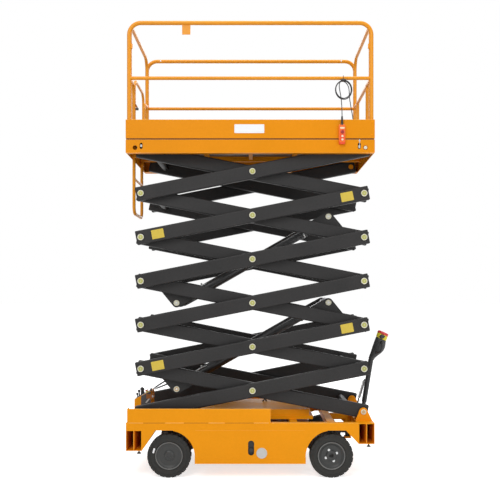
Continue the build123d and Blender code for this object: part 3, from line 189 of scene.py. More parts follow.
def surface(name, colour, rough, metal=0.0, vary=0.08, grain=60.0, bump=0.05, coat=0.0,
            rough_vary=0.1, specular=0.5):
    """Painted or moulded surface: colour, roughness and relief all vary over it."""
    material = bpy.data.materials.new(name)
    tree, new, link = nodes_of(material)
    out, shader = new("ShaderNodeOutputMaterial"), new("ShaderNodeBsdfPrincipled")
    coordinates = new("ShaderNodeTexCoord")
    broad = noise_texture(tree, coordinates, BROAD_GRAIN, 5)
    small = noise_texture(tree, coordinates, grain, 4)
    ramp = new("ShaderNodeValToRGB")
    first, last = ramp.color_ramp.elements
    first.position, last.position = DARK_BELOW, LIGHT_ABOVE
    first.color = (*(c * (1 - vary) for c in colour), 1)
    last.color = (*(min(1.0, c * (1 + vary * 0.6) + 0.002) for c in colour), 1)
    fine, both = new("ShaderNodeMath"), new("ShaderNodeMath")
    fine.operation, both.operation = "MULTIPLY", "MULTIPLY_ADD"
    fine.inputs[1].default_value, both.inputs[1].default_value = SMALL_SHARE, BROAD_SHARE
    link(small.outputs["Fac"], fine.inputs[0])
    link(broad.outputs["Fac"], both.inputs[0])
    link(fine.outputs[0], both.inputs[2])
    link(both.outputs[0], ramp.inputs[0])
    link(ramp.outputs[0], shader.inputs["Base Color"])
    roughness = new("ShaderNodeMapRange")
    roughness.inputs["To Min"].default_value = max(0.02, rough - rough_vary)
    roughness.inputs["To Max"].default_value = min(1.0, rough + rough_vary)
    link(broad.outputs["Fac"], roughness.inputs["Value"])
    link(roughness.outputs[0], shader.inputs["Roughness"])
    relief = new("ShaderNodeBump")
    relief.inputs["Strength"].default_value = bump
    relief.inputs["Distance"].default_value = RELIEF_DEPTH
    link(small.outputs["Fac"], relief.inputs["Height"])
    link(relief.outputs[0], shader.inputs["Normal"])
    shader.inputs["Metallic"].default_value = metal
    shader.inputs["Specular IOR Level"].default_value = specular
    shader.inputs["Coat Weight"].default_value = coat
    shader.inputs["Coat Roughness"].default_value = COAT_ROUGHNESS
    link(shader.outputs[0], out.inputs[0])
    return material


# paints
orange = surface("orange_paint", (0.86, 0.315, 0.002), 0.42, vary=0.05, bump=0.08, specular=0.14)
# darker copy of the orange for the rails, gate, ladder and their fittings: painted shade
rail_shaded_orange = surface("rail_shaded_paint", (0.76, 0.29, 0.012), 0.34, vary=0.06, bump=0.08, specular=0.25)
# darker copy of the orange for the platform and toe boards, which the lamps light more: painted shade
platform_shaded_orange = surface("platform_shaded_paint", (0.76, 0.265, 0.002), 0.42, vary=0.05, bump=0.08, specular=0.12)
# darker copy of the orange for the power unit inside the chassis: painted shade
inner_shaded_orange = surface("inner_shaded_orange", (0.4, 0.12, 0.008), 0.5, vary=0.2, grain=90, bump=0.1, specular=0.15)
# dark brownish copy of the orange for the control box's bracket and the gate latch: painted shade
shaded_brown_orange = surface("painted_shade_orange", (0.34, 0.11, 0.015), 0.55, vary=0.25, grain=120, bump=0.15)
# lighter oranges for the beads on sheet edges: painted highlights, the second one dimmer
edge_highlight = surface("painted_highlight_edge", (1.0, 0.47, 0.04), 0.3, grain=200, bump=0.06)
edge_dim_highlight = surface("painted_dim_highlight_edge", (0.9, 0.36, 0.02), 0.35, grain=200, bump=0.06, specular=0.4)
# lighter orange for the weld beads: real beads, their lighter colour a painted highlight
weld_bead_painted_highlight = surface("weld_bead_painted_highlight", (0.93, 0.46, 0.05), 0.34, vary=0.15, grain=700, bump=0.5, coat=0.2)
# near-black brown for strips laid where a gap or groove is in shade: painted shadow
shadow_gap_paint = surface("paint_shadow_gap", (0.07, 0.024, 0.004), 0.7, vary=0.3, grain=200, bump=0.2)
charcoal = surface("arm_paint", (0.024, 0.023, 0.023), 0.48, vary=0.25, bump=0.12, specular=0.24)
black_paint = surface("axle_paint", (0.022, 0.022, 0.022), 0.55, vary=0.3, bump=0.2)
handle_paint = surface("handle_paint", (0.02, 0.02, 0.021), 0.42, vary=0.2, grain=200, bump=0.1,
                       specular=0.35)
barrel_paint = surface("barrel_paint", (0.02, 0.02, 0.021), 0.4, vary=0.25, bump=0.08, coat=0.2)
rim_paint = surface("rim_paint", (0.018, 0.019, 0.018), 0.42, vary=0.3, bump=0.12)
white_plate = surface("white_enamel", (0.83, 0.84, 0.86), 0.35, vary=0.03, grain=90, bump=0.03, coat=0.2)
yellow_label = surface("yellow_label", (0.62, 0.46, 0.05), 0.42, vary=0.14, grain=120, bump=0.04)
# metals
# grey for the rims' lips, far lighter than the rim's paint: a real lip, its lighter grey a painted highlight
rim_lip_highlight = surface("rim_lip_highlight", (0.14, 0.14, 0.135), 0.4, metal=0.3, vary=0.3, grain=200, bump=0.15)
chrome = surface("rod_chrome", (0.72, 0.72, 0.74), 0.16, metal=1.0, vary=0.06, bump=0.02, rough_vary=0.05)
deck_metal = surface("deck_plate", (0.2, 0.2, 0.2), 0.5, metal=0.6, vary=0.25, bump=0.1)
cap_cream = surface("pin_cap_rim", (0.62, 0.6, 0.47), 0.4, metal=0.25, vary=0.12, grain=300, bump=0.08)
cap_green = surface("pin_cap_face", (0.42, 0.42, 0.12), 0.45, metal=0.2, vary=0.2, grain=260, bump=0.1)
steel = surface("zinc_steel", (0.55, 0.56, 0.56), 0.32, metal=0.9, vary=0.15, grain=300, bump=0.06)
spring_steel = surface("spring_steel", (0.2, 0.2, 0.2), 0.35, metal=0.7, vary=0.2, grain=300)
copper = surface("copper_grease", (0.5, 0.33, 0.16), 0.4, metal=0.5, vary=0.25, grain=200, bump=0.15)
# rubber and plastics
rubber = surface("rubber", (0.03, 0.03, 0.028), 0.7, vary=0.3, bump=0.3, grain=140, specular=0.25)
cable_rubber = surface("cable_rubber", (0.02, 0.02, 0.021), 0.5, vary=0.2, bump=0.15, grain=500)
hose_rubber = surface("hose_rubber", (0.018, 0.018, 0.018), 0.55, vary=0.2, grain=400, bump=0.2)
plastic = surface("black_plastic", (0.016, 0.016, 0.017), 0.5, vary=0.2, bump=0.25, grain=400)
dark_grey = surface("dark_grey_plastic", (0.06, 0.06, 0.063), 0.5, vary=0.2, grain=300, bump=0.15)
pale_grey = surface("pale_grey_plastic", (0.55, 0.56, 0.55), 0.45, grain=260, bump=0.08)
red_plastic = surface("red_plastic", (0.6, 0.03, 0.025), 0.32, grain=200)
yellow_plastic = surface("yellow_plastic", (0.72, 0.62, 0.02), 0.4, bump=0.06, grain=200)
pendant_orange = surface("pendant_plastic", (0.9, 0.16, 0.015), 0.4, vary=0.06, bump=0.1, grain=300)
pendant_red = surface("pendant_red", (0.85, 0.07, 0.012), 0.36, grain=300, bump=0.08)
stop_red = surface("stop_red", (0.36, 0.008, 0.01), 0.25, grain=300, bump=0.04, coat=0.3)
button_cream = surface("button_cream", (0.85, 0.72, 0.5), 0.4, vary=0.06, grain=300)

FINISH_OF_PREFIX = {
    "chassis_frame": orange, "outrigger_sockets": orange, "side_skirts": orange, "belly_tray": orange,
    "power_unit": inner_shaded_orange, "power_cover": orange, "roller_tracks": orange,
    "ground_control_box": orange, "lowering_valve": plastic,
    "rear_axle": black_paint, "front_axle": black_paint, "knuckle": black_paint, "tyre": rubber,
    "rim": rim_paint, "steering": black_paint, "drive_handle": black_paint, "handle_head": plastic,
    "head_collar": yellow_plastic, "head_button": red_plastic,
    "outer_arms": charcoal, "inner_frame": charcoal,
    "lower_cylinder_barrel": barrel_paint, "upper_cylinder_barrel": barrel_paint,
    "lower_cylinder_rod": chrome, "upper_cylinder_rod": chrome,
    "platform_frame": platform_shaded_orange, "deck": deck_metal, "toe_boards": platform_shaded_orange,
    "right_guardrail": rail_shaded_orange, "left_guardrail": rail_shaded_orange, "front_end_rail": rail_shaded_orange,
    "rear_end_rail": rail_shaded_orange, "entry_gate": rail_shaded_orange, "ladder": rail_shaded_orange,
    "pendant_control": pendant_orange, "pendant_cable": cable_rubber, "cable_coil": cable_rubber,
    "cable_gland": plastic,
}
for name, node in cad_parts.items():
    node.data.materials.clear()
    node.data.materials.append(
        next(finish for prefix, finish in FINISH_OF_PREFIX.items() if name.startswith(prefix))
    )


# ---- helpers for the pieces that are built here ------------------------------------------------
def add_object(name, verts, faces, materials, body, smooth=True, marks=None):
    """Mesh piece that rides on a body; marks give each face's place in the materials."""
    mesh = bpy.data.meshes.new(name)
    mesh.from_pydata([tuple(v) for v in verts], [], faces)
    build = bmesh.new()
    build.from_mesh(mesh)
    bmesh.ops.recalc_face_normals(build, faces=build.faces)
    build.to_mesh(mesh)
    build.free()
    for material in materials:
        mesh.materials.append(material)
    if marks:
        for face, mark in zip(mesh.polygons, marks):
            face.material_index = mark
    if smooth:
        mesh.polygons.foreach_set("use_smooth", [True] * len(mesh.polygons))
        mesh.set_sharp_from_angle(angle=math.radians(35))
    piece = bpy.data.objects.new(name, mesh)
    scene.collection.objects.link(piece)
    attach(piece, body)
    return piece


def bevelled(piece, width):
    modifier = piece.modifiers.new("bevel", "BEVEL")
    modifier.width, modifier.segments, modifier.limit_method = width / 1000, 2, "ANGLE"
    modifier.angle_limit = math.radians(40)
    return piece


def tube_faces(rings, per_ring):
    """Faces of a capped tube whose rings follow each other in the list of points."""
    faces = []
    for k in range(rings - 1):
        for i in range(per_ring):
            j = (i + 1) % per_ring
            faces.append((k * per_ring + i, k * per_ring + j, (k + 1) * per_ring + j, (k + 1) * per_ring + i))
    last = (rings - 1) * per_ring
    return faces + [tuple(range(per_ring)), tuple(last + i for i in reversed(range(per_ring)))]


def turned(name, profile, at, axis, materials, body, marks=None, steps=32):
    """Turned piece: (along, radius) pairs in millimetres from the point, along the axis."""
    materials = materials if isinstance(materials, (list, tuple)) else [materials]
    turn = Vector(axis).normalized().to_track_quat("Z", "Y").to_matrix()
    middle = place(*at)
    verts, faces, face_marks, rings = [], [], [], []
    for along, radius in profile:
        count = steps if radius else 1
        rings.append(list(range(len(verts), len(verts) + count)))
        for i in range(count):
            a = 2 * math.pi * i / steps
            spoke = Vector((radius * math.cos(a), radius * math.sin(a), along))
            verts.append(middle + turn @ spoke / 1000)
    pairs = list(zip(rings, rings[1:]))
    if profile[0][1] and profile[-1][1]:
        pairs.append((rings[-1], rings[0]))
    for index, (a, b) in enumerate(pairs):
        if len(a) == len(b) == 1:
            continue
        for i in range(steps):
            j = (i + 1) % steps
            if len(a) == 1:
                face = (a[0], b[i], b[j])
            elif len(b) == 1:
                face = (a[i], b[0], a[j])
            else:
                face = (a[i], b[i], b[j], a[j])
            faces.append(face)
            face_marks.append(marks[index] if marks else 0)
    return add_object(name, verts, faces, materials, body, marks=face_marks)


def panel(name, outline, y0, y1, material, body, bevel=0.0, turn=0.0, about=None):
    """Flat piece: its outline in X and Z, and its two faces in Y."""
    if turn:
        c, s = math.cos(turn), math.sin(turn)
        outline = [
            (about[0] + (x - about[0]) * c - (z - about[1]) * s,
             about[1] + (x - about[0]) * s + (z - about[1]) * c) for x, z in outline
        ]
    n = len(outline)
    verts = [place(x, y, z) for y in (y0, y1) for x, z in outline]
    faces = [tuple(range(n)), tuple(range(2 * n - 1, n - 1, -1))]
    faces += [(i, (i + 1) % n, n + (i + 1) % n, n + i) for i in range(n)]
    piece = add_object(name, verts, faces, [material], body, bevel > 0)
    return bevelled(piece, bevel) if bevel else piece


def rounded(x0, x1, z0, z1, r):
    """Outline of a rectangle with round corners."""
    steps, points = 5, []
    for x, z, start in (
        (x1 - r, z1 - r, 0), (x0 + r, z1 - r, 90), (x0 + r, z0 + r, 180), (x1 - r, z0 + r, 270),
    ):
        for i in range(steps):
            a = math.radians(start + 90 * i / (steps - 1))
            points.append((x + r * math.cos(a), z + r * math.sin(a)))
    return points


def brick(name, x0, x1, y0, y1, z0, z1, material, body, bevel):
    return panel(name, [(x0, z0), (x1, z0), (x1, z1), (x0, z1)], y0, y1, material, body, bevel)


def bolt(name, at, axis, radius, material, body, height):
    """Hexagon head with a washer."""
    washer = [(-1, 0), (-1, radius * 1.35), (1.2, radius * 1.35), (1.2, 0)]
    turned(name + "_washer", washer, at, axis, material, body, steps=20)
    head = [(0, 0), (0, radius), (height - 1, radius), (height, radius * 0.86), (height, 0)]
    turned(name, head, at, axis, material, body, steps=6)


def spline_curve(name, points, radius, material, body):
    """Round tube along one smooth spline; points and radius in metres."""
    data = bpy.data.curves.new(name, "CURVE")
    data.dimensions = "3D"
    data.bevel_depth, data.bevel_resolution, data.resolution_u = radius, 4, 6
    data.use_fill_caps = True
    spline = data.splines.new("NURBS")
    spline.points.add(len(points) - 1)
    for slot, point in zip(spline.points, points):
        slot.co = (*point, 1)
    spline.order_u = 3
    spline.use_endpoint_u = True
    curve = bpy.data.objects.new(name, data)
    scene.collection.objects.link(curve)
    data.materials.append(material)
    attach(curve, body)
    return curve


def pipe(name, points, radius, material, body):
    """Round tube; points and radius in millimetres."""
    return spline_curve(name, [place(*point) for point in points], radius / 1000, material, body)


def edge_line(name, a, b, radius, material, body):
    """Rounded edge of a folded sheet, in a lighter paint that stands for a painted highlight."""
    way = Vector(b) - Vector(a)
    n = way.length
    return turned(name, [(0, 0), (1, radius), (n - 1, radius), (n, 0)], a, way, material, body, steps=8)


# ---- scissor arms ------------------------------------------------------------------------------
ARM_CAP_Y, ARM_LABEL_Y, PLATE_CAP_Y, PLATE_BOLT_Y = 482.0, 480.0, 351.5, 357.5
CYLINDER_PIN = (700.0, 140.0)   # a cylinder's pin on its frame: along the arm and across it
ARM_CAP = [
    (0, 0), (0, 29.6), (8.2, 29.6), (10.6, 27.4), (10.6, 23.4), (8.6, 21), (9.4, 12), (9.6, 6), (11, 4.6),
    (11, 0),
]
ARM_CAP_MARKS = [0, 0, 0, 0, 0, 1, 1, 1, 0]
TOP_CAP_RADIUS = 29.0           # on the sixth level, where the platform's skirt is near
PLATE_CAP = [(0, 0), (0, 28), (5, 28), (7.5, 25.5), (7.5, 21), (6, 19), (6, 0)]


def pivot_z(level, part):
    """Height of an outer arm's pivot: part is 0 at its rear end, 0.5 in the middle, 1 in front."""
    return BASE_PIVOT_Z + (level - 1 + part) * RISE


def arm_pin_caps():
    for level in range(1, LEVELS + 1):
        cap = [(a, min(r, TOP_CAP_RADIUS)) for a, r in ARM_CAP] if level == LEVELS else ARM_CAP
        for end, x, part in (("rear", REAR_PIVOT_X, 0.0), ("middle", CENTRE_X, 0.5), ("front", PIVOT_X, 1.0)):
            if (level, end) in ((1, "rear"), (LEVELS, "front")):
                continue        # these ends are held by the chassis and the platform
            for side, sign in SIDES:
                turned(f"pin_cap_{level}_{end}_{side}", cap, (x, sign * ARM_CAP_Y, pivot_z(level, part)),
                       (0, sign, 0), [cap_cream, cap_green], f"outer_arms_{level}", ARM_CAP_MARKS)


def arm_labels():
    """Blank labels on the right outer arms, tilted with them."""
    from_pivot, half_length, half_height = 160, 57, 42
    for level in (2, 5):
        for end, x, part, way in (
            ("rear", REAR_PIVOT_X, 0, from_pivot), ("front", PIVOT_X, 1, -from_pivot),
        ):
            cx, cz = x + way * math.cos(REST), pivot_z(level, part) + way * math.sin(REST)
            outline = rounded(cx - half_length, cx + half_length, cz - half_height, cz + half_height, 5)
            panel(f"arm_label_{level}_{end}", outline, -ARM_LABEL_Y - 1.3, -ARM_LABEL_Y + 0.2, yellow_label,
                  f"outer_arms_{level}", turn=REST, about=(cx, cz))


def inner_point(level, u, v):
    """X and Z of a point on an inner arm: u along it from its middle, v across it."""
    z = BASE_PIVOT_Z + (level - 0.5) * RISE
    return CENTRE_X + u * math.cos(REST) + v * math.sin(REST), z - u * math.sin(REST) + v * math.cos(REST)


def cylinder_pin_caps():
    u, v = CYLINDER_PIN
    for label, level, way in (
        ("lower_barrel", 1, -1), ("lower_rod", 3, 1), ("upper_barrel", 3, -1), ("upper_rod", 5, 1),
    ):
        x, z = inner_point(level, way * u, way * v)
        body = f"inner_frame_{level}"
        face = copper if label == "lower_barrel" else cap_cream
        for side, sign in SIDES:
            turned(f"{label}_pin_cap_{side}", PLATE_CAP, (x, sign * PLATE_CAP_Y, z), (0, sign, 0),
                   [cap_cream, face], body, [0, 0, 0, 0, 0, 1])
            bolt(f"{label}_pin_bolt_{side}", (x, sign * PLATE_BOLT_Y, z), (0, sign, 0), 7, steel, body, 4)


arm_pin_caps()
arm_labels()
cylinder_pin_caps()


# ---- lift cylinders ----------------------------------------------------------------------------
def gland_ring(width):
    return [(0, 47), (0, 54.6), (2, 55.6), (width - 2, 55.6), (width, 54.6), (width, 47)]


def cylinder_details(label, first, last):
    """Gland rings, weld, pipe and port on a barrel that runs between two inner frames."""
    u, v = CYLINDER_PIN
    (x0, z0), (x1, z1) = inner_point(first, -u, -v), inner_point(last, u, v)
    length = math.hypot(x1 - x0, z1 - z0)
    dx, dz = (x1 - x0) / length, (z1 - z0) / length
    body = f"{label}_barrel"

    def on(along, up=0.0):
        return x0 + dx * along - dz * up, z0 + dz * along + dx * up

    rings = ((1352, 12, dark_grey), (1384, 9, steel), (1404, 14, dark_grey))
    for k, (along, width, finish) in enumerate(rings):
        x, z = on(along)
        turned(f"{label}_gland_ring_{k}", gland_ring(width), (x, 0, z), (dx, 0, dz), finish, body, steps=48)
    x, z = on(120)
    turned(f"{label}_end_weld", [(0, 46), (0, 49), (3, 51.5), (7, 51.5), (10, 49), (10, 46)], (x, 0, z),
           (dx, 0, dz), barrel_paint, body, steps=48)
    route = [(*on(150, 34), -30), (*on(168, 40), -38), (*on(300, 40), -38), (*on(318, 34), -30)]
    pipe(f"{label}_barrel_pipe", [(x, y, z) for x, z, y in route], 4.5, steel, body)
    x, z = on(272, 54)
    brick(f"{label}_barrel_fitting", x - 9, x + 9, -34, -16, z - 8, z + 8, pale_grey, body, 3)
    x, z = on(272, 58)
    bolt(f"{label}_barrel_port", (x, -25, z), (-dz, 0, dx), 6, steel, body, 7)


cylinder_details("lower", 1, 3)
cylinder_details("upper", 3, 5)


# ---- wheels ------------------------------------------------------------------------------------
TYRE_SIDE = [
    (38, 126), (44, 129), (47.5, 134), (47.5, 138), (49.3, 139.5), (49.3, 143), (48.4, 144.5), (49.4, 156),
    (49.4, 160), (50, 161), (50, 165), (48.8, 166.5), (47.5, 182), (44, 194.5),
]
LUG = [(5, 187), (5, 199.2), (30, 200), (47, 199.6), (50, 196.5), (49.6, 175), (44, 172)]
LUGS, LUG_SHARE, LUG_SKEW, LUG_STATIONS = 22, 0.78, 0.3, 5
TYRE_STEPS = 96


def tyre(name, node, x, sign, body):
    """Solid tyre: rings on its sidewalls, and a row of shoulder lugs each side with grooves between."""
    section = [(-along, r) for along, r in TYRE_SIDE] + TYRE_SIDE[::-1]

    def at(along, r, angle):
        return place(x + r * math.cos(angle), sign * WHEEL_Y + along, AXLE_Z + r * math.sin(angle))

    verts, faces, n = [], [], len(section)
    for i in range(TYRE_STEPS):
        angle = 2 * math.pi * i / TYRE_STEPS
        verts += [at(along, r, angle) for along, r in section]
        j = (i + 1) % TYRE_STEPS
        for k in range(n):
            m = (k + 1) % n
            faces.append((i * n + k, i * n + m, j * n + m, j * n + k))
    for way in (-1, 1):
        for i in range(LUGS):
            start = len(verts)
            for step in range(LUG_STATIONS):
                turn = i + (0.5 if way > 0 else 0) + LUG_SHARE * step / (LUG_STATIONS - 1)
                for along, r in LUG:
                    skew = way * LUG_SKEW * (1 - along / TYRE_HALF)
                    verts.append(at(way * along, r, 2 * math.pi * (turn + skew) / LUGS))
            faces += [tuple(start + k for k in face) for face in tube_faces(LUG_STATIONS, len(LUG))]
    piece = add_object(name, verts, faces, [rubber], body)
    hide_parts(node)


def wheel_details(end, x):
    bolt_circle, bolts, first_bolt = 54, 4, 23.7
    for side, sign in SIDES:
        body = f"wheel_{end}_{side}"
        tyre(f"treaded_tyre_{end}_{side}", f"tyre_{end}_{side}", x, sign, body)
        face = sign * (WHEEL_Y + TYRE_HALF)
        # lip in the lighter grey: painted highlight
        turned(f"rim_lip_highlight_{end}_{side}", [(0, 117), (0, 124.5), (3, 126.5), (6, 125), (6, 121), (4, 118)],
               (x, face - sign * 8, AXLE_Z), (0, sign, 0), rim_lip_highlight, body, steps=72)
        if end == "rear":
            continue
        plane = face - sign * 26
        turned(f"hub_cap_{side}", [(-3, 0), (-3, 31), (9, 30), (12, 26), (12, 0)], (x, plane, AXLE_Z),
               (0, sign, 0), rim_paint, body)
        for k in range(bolts):
            a = math.radians(first_bolt + 360 / bolts * k)
            at = (x + bolt_circle * math.cos(a), plane, AXLE_Z + bolt_circle * math.sin(a))
            bolt(f"wheel_bolt_{side}_{k}", at, (0, sign, 0), 9, steel, body, 9)


wheel_details("rear", -WHEEL_X)
wheel_details("front", WHEEL_X)
# small white mark on the right rear tyre's sidewall
TYRE_MARK_X, TYRE_MARK_Z = -883.6, 249
panel("tyre_white_mark", rounded(TYRE_MARK_X - 8, TYRE_MARK_X + 8, TYRE_MARK_Z - 23, TYRE_MARK_Z + 23, 5), -526, -524.4,
      white_plate, "wheel_rear_right", turn=math.radians(-16), about=(TYRE_MARK_X, TYRE_MARK_Z))


# ---- chassis -----------------------------------------------------------------------------------
EDGE_Y = SIDE_FACE - 0.6
# beads on the edges of the chassis's sheets, the same on both sides, in lighter paints as painted highlights:
# X and Z of the ends, radius, paint
CHASSIS_EDGES = (
    ((-1120, 637), (183, 637), 2.2, edge_highlight),        # roller track's guard
    ((190, 508), (988, 508), 2.0, edge_highlight),          # channel's top
    ((183.5, 512), (183.5, 636), 1.6, edge_dim_highlight),       # guard's front end
    ((-868, 442.5), (-700, 442.5), 1.6, edge_dim_highlight),     # rear arch
    ((-500, 442), (500, 442), 1.5, edge_dim_highlight),          # channel's bottom
    ((700, 442.5), (868, 442.5), 1.6, edge_dim_highlight),       # front arch
    ((-503, 138), (503, 138), 2.0, edge_highlight),         # skirt's bottom
    ((-505, 140), (-505, 196), 1.8, edge_highlight),        # skirt's ends
    ((505, 140), (505, 196), 1.8, edge_dim_highlight),
    ((-1132, 256.5), (-991, 256.5), 2.0, edge_highlight),   # sockets' bottoms
    ((990, 319.5), (1131, 319.5), 2.0, edge_highlight),
    ((-1131.5, 258), (-1131.5, 506), 1.8, edge_highlight),  # sockets' outer edges
    ((1131.5, 321), (1131.5, 503), 1.8, edge_dim_highlight),
    ((-1061, 259), (-1061, 439), 2.4, edge_dim_highlight),       # sockets' middle webs
    ((1061, 322), (1061, 500), 2.4, edge_dim_highlight),
)


def chassis_edges():
    for side, sign in SIDES:
        y = sign * EDGE_Y
        for k, ((x0, z0), (x1, z1), radius, paint) in enumerate(CHASSIS_EDGES):
            edge_line(f"chassis_edge_{k}_{side}", (x0, y, z0), (x1, y, z1), radius, paint, "chassis")


def track_seam():
    """Stitch welds and, in the gaps between them, dark strips of painted shadow, where the right track's
    guard meets the channel.
    """
    # dark strips between the welds: painted shadow
    for k, (a, b) in enumerate(((-973, -777), (-605, -382), (-230, 32))):
        brick(f"track_gap_shadow_{k}", a, b, -SIDE_FACE - 0.5, -SIDE_FACE + 2, CHANNEL_TOP - 1.4, CHANNEL_TOP + 1.6,
              shadow_gap_paint, "chassis", 0.4)
    # weld beads in the lighter orange: painted highlight
    for k, (a, b) in enumerate(((-777, -605), (-382, -230), (32, 170), (-1110, -973))):
        n = b - a
        turned(f"track_weld_{k}", [(0, 0), (2, 2.6), (6, 3.4), (n - 6, 3.4), (n - 2, 2.6), (n, 0)],
               (a, -SIDE_FACE - 0.2, CHANNEL_TOP + 0.3), (1, 0, 0), weld_bead_painted_highlight, "chassis", steps=12)


def socket_screws():
    """Screw foot under each right socket."""
    for end, x, z in (("rear", -1018, REAR_SOCKET_BOTTOM), ("front", 1083, FRONT_SOCKET_BOTTOM)):
        turned(f"socket_screw_{end}", [(-2, 0), (-2, 8), (22, 8), (22, 19), (30, 19), (30, 0)], (x, -530, z),
               (0, 0, -1), black_paint, "chassis", steps=16)


def hood_details():
    """Strap clip on the hood, and the screws in its top."""
    clip_x, clip_y = 141, 162
    for k, way in enumerate((-1, 1)):
        ends = ((-26, 42), (-14, 34), (0, 22), (12, 9), (24, -1))
        strap = [(clip_x + way * out, clip_y, HOOD_TOP + up) for out, up in ends]
        pipe(f"hood_clip_{k}", strap, 5.5, plastic, "chassis")
    brick("hood_clip_middle", clip_x - 9, clip_x + 9, clip_y - 6, clip_y + 6, HOOD_TOP + 14, HOOD_TOP + 30,
          plastic, "chassis", 3)
    for k, (x, y) in enumerate((x, y) for y in (-300, 300) for x in (-440, 0, 520)):
        bolt(f"hood_screw_{k}", (x, y, HOOD_TOP), (0, 0, 1), 6, steel, "chassis", 4)


chassis_edges()
track_seam()
turned("side_plug", [(-2, 0), (-2, 49), (2, 49), (4.5, 46), (4.5, 40), (3, 38), (3.6, 14), (4.2, 0)],
       (105, -SIDE_FACE, 234), (0, -1, 0), pale_grey, "chassis", steps=48)
socket_screws()
hood_details()


# ---- ground control box, at the rear end -------------------------------------------------------
PANEL_REAR, PANEL_LOW, PANEL_SLOPE = -1133.0, 657.0, math.atan2(76, 147)
# X, Y, handle's radius and height of each lever
CONTROL_LEVERS = ((-1104, -84, 5, 46), (-1092, -60, 7, 66), (-1070, -78, 7, 78), (-1048, -52, 7, 60),
                  (-1076, 30, 7, 70))


def panel_z(x):
    return PANEL_LOW + (x - PANEL_REAR) * math.tan(PANEL_SLOPE)


def control_details():
    """Panel, levers, stop button, side plate and bracket of the ground control box."""
    panel("control_panel", [(-1129, 656), (-989, 728.5), (-991, 732.5), (-1131, 660)], -100, 100, pale_grey,
          "chassis", 1)
    for k, (x, y, r, reach) in enumerate(CONTROL_LEVERS):
        boot = [(-2, 0), (-2, 14), (6, 12), (9, r)]
        knob = [(reach - 26, r), (reach - 22, r + 5), (reach - 5, r + 5), (reach, r), (reach, 0)]
        turned(f"control_lever_{k}", boot + knob, (x, y, panel_z(x)), (-0.18 + 0.1 * (k % 3), 0, 1), plastic,
               "chassis", steps=16)
    x = -1012
    turned("control_stop",
           [(-2, 0), (-2, 16), (4, 16), (6, 9), (16, 9), (17, 17), (24, 16), (27, 8), (27, 0)],
           (x, -68, panel_z(x)), (-math.sin(PANEL_SLOPE), 0, math.cos(PANEL_SLOPE)),
           [yellow_plastic, red_plastic], "chassis", [0, 0, 0, 0, 1, 1, 1, 1], 24)
    brick("control_block", -984, -973, -96, -34, 733, 758, dark_grey, "chassis", 3)
    panel("control_side", [(-1068, 598), (-973, 598), (-973, 729), (-988, 729), (-1068, 687)], -112.4, -109.5,
          dark_grey, "chassis", 1)
    panel("control_side_strip", [(-1026, 626), (-1012, 622), (-975, 668), (-975, 690)], -114, -111, pale_grey,
          "chassis", 1)
    # bracket in the dark brownish orange: painted shade
    arm = [(-1016, 664), (-951, 664), (-939, 672), (-934, 686), (-939, 700), (-951, 708), (-1016, 708)]
    panel("control_bracket", arm, -118, -111, shaded_brown_orange, "chassis", 1.5)
    bolt("control_bracket_bolt", (-952, -118, 686), (0, -1, 0), 8, steel, "chassis", 5)


def first_level_fittings():
    """Two hoses near the lower cylinder's first pin, and the pins of the front base pivots."""
    for k, points in enumerate((
        [(-924, -250, 781), (-912, -250, 791), (-870, -250, 819), (-829, -250, 845), (-790, -262, 862),
         (-740, -290, 850), (-706, -325, 812)],
        [(-908, -262, 779), (-894, -262, 785), (-840, -258, 806), (-775, -255, 833), (-740, -280, 836),
         (-712, -322, 800)],
    )):
        (x0, y0, z0), (x1, y1, z1) = points[:2]
        pipe(f"pump_hose_{k}", points, 7, hose_rubber, "inner_frame_1")
        turned(f"pump_hose_end_{k}", [(0, 0), (0, 9), (14, 9), (16, 7.5), (26, 7.5), (26, 0)], points[0],
               (x1 - x0, 0, z1 - z0), steel, "inner_frame_1", steps=16)
    for side, sign in SIDES:
        turned(f"bracket_pin_{side}", [(-2, 0), (-2, 25), (8, 25), (10, 22), (10, 17), (8.5, 15), (8.5, 0)],
               (PIVOT_X, sign * 440, BASE_PIVOT_Z), (0, sign, 0), [cap_cream, copper], "chassis",
               [0, 0, 0, 0, 0, 1], 36)


control_details()
first_level_fittings()


# ---- drive handle ------------------------------------------------------------------------------
HANDLE_PIVOT, LEAN_BACK = (1113.0, 546.0), math.radians(9.1)
HEAD_DISTANCE, HEAD_LEAN = 494.0, math.radians(24.6)
# oval sections along the head's own axis: distance, middle, half length and half width
GRIP = [(0, -1, 20, 20), (6, -1, 27, 27), (30, 0, 30, 30), (62, 6, 38, 36), (96, 14, 50, 44),
        (130, 18, 58, 49), (165, 17, 60, 52), (200, 11, 57, 52), (226, 6, 53, 50), (232, 5, 49, 46)]
COLLAR = [(228, 5, 46, 44), (230, 5, 52, 50), (236, 5, 54, 51), (258, 3, 55, 52), (272, 2, 55, 52),
          (276, 2, 50, 48)]
STOP_BUTTON = [(272, 1, 46, 44), (275, 1, 54, 52), (279, 1, 56, 53), (292, 1, 56, 53), (298, 1, 53, 50),
               (301, 1, 40, 38), (301.5, 1, 14, 13)]
# the loop beside the head: along the head, out of its axis and to the side
HEAD_LOOP = ((84, 14, 36), (88, 20, 80), (104, 26, 120), (140, 30, 132), (176, 26, 122), (196, 18, 84),
             (200, 12, 44))
SPRING_LOW, SPRING_HIGH = (1072.0, 0.0, 652.0), (1124.0, 0.0, 828.0)


def on_handle(distance, out=0.0):
    """Point beside the handle's own line, a distance from its pivot."""
    s, c = math.sin(LEAN_BACK), math.cos(LEAN_BACK)
    return HANDLE_PIVOT[0] + distance * s + out * c, 0.0, HANDLE_PIVOT[1] + distance * c - out * s


def on_head(along, out, y=0.0):
    """Point beside the head's own line, which leans more than the handle's."""
    s, c = math.sin(HEAD_LEAN), math.cos(HEAD_LEAN)
    start = on_handle(HEAD_DISTANCE)
    return start[0] + along * s + out * c, y, start[2] + along * c - out * s


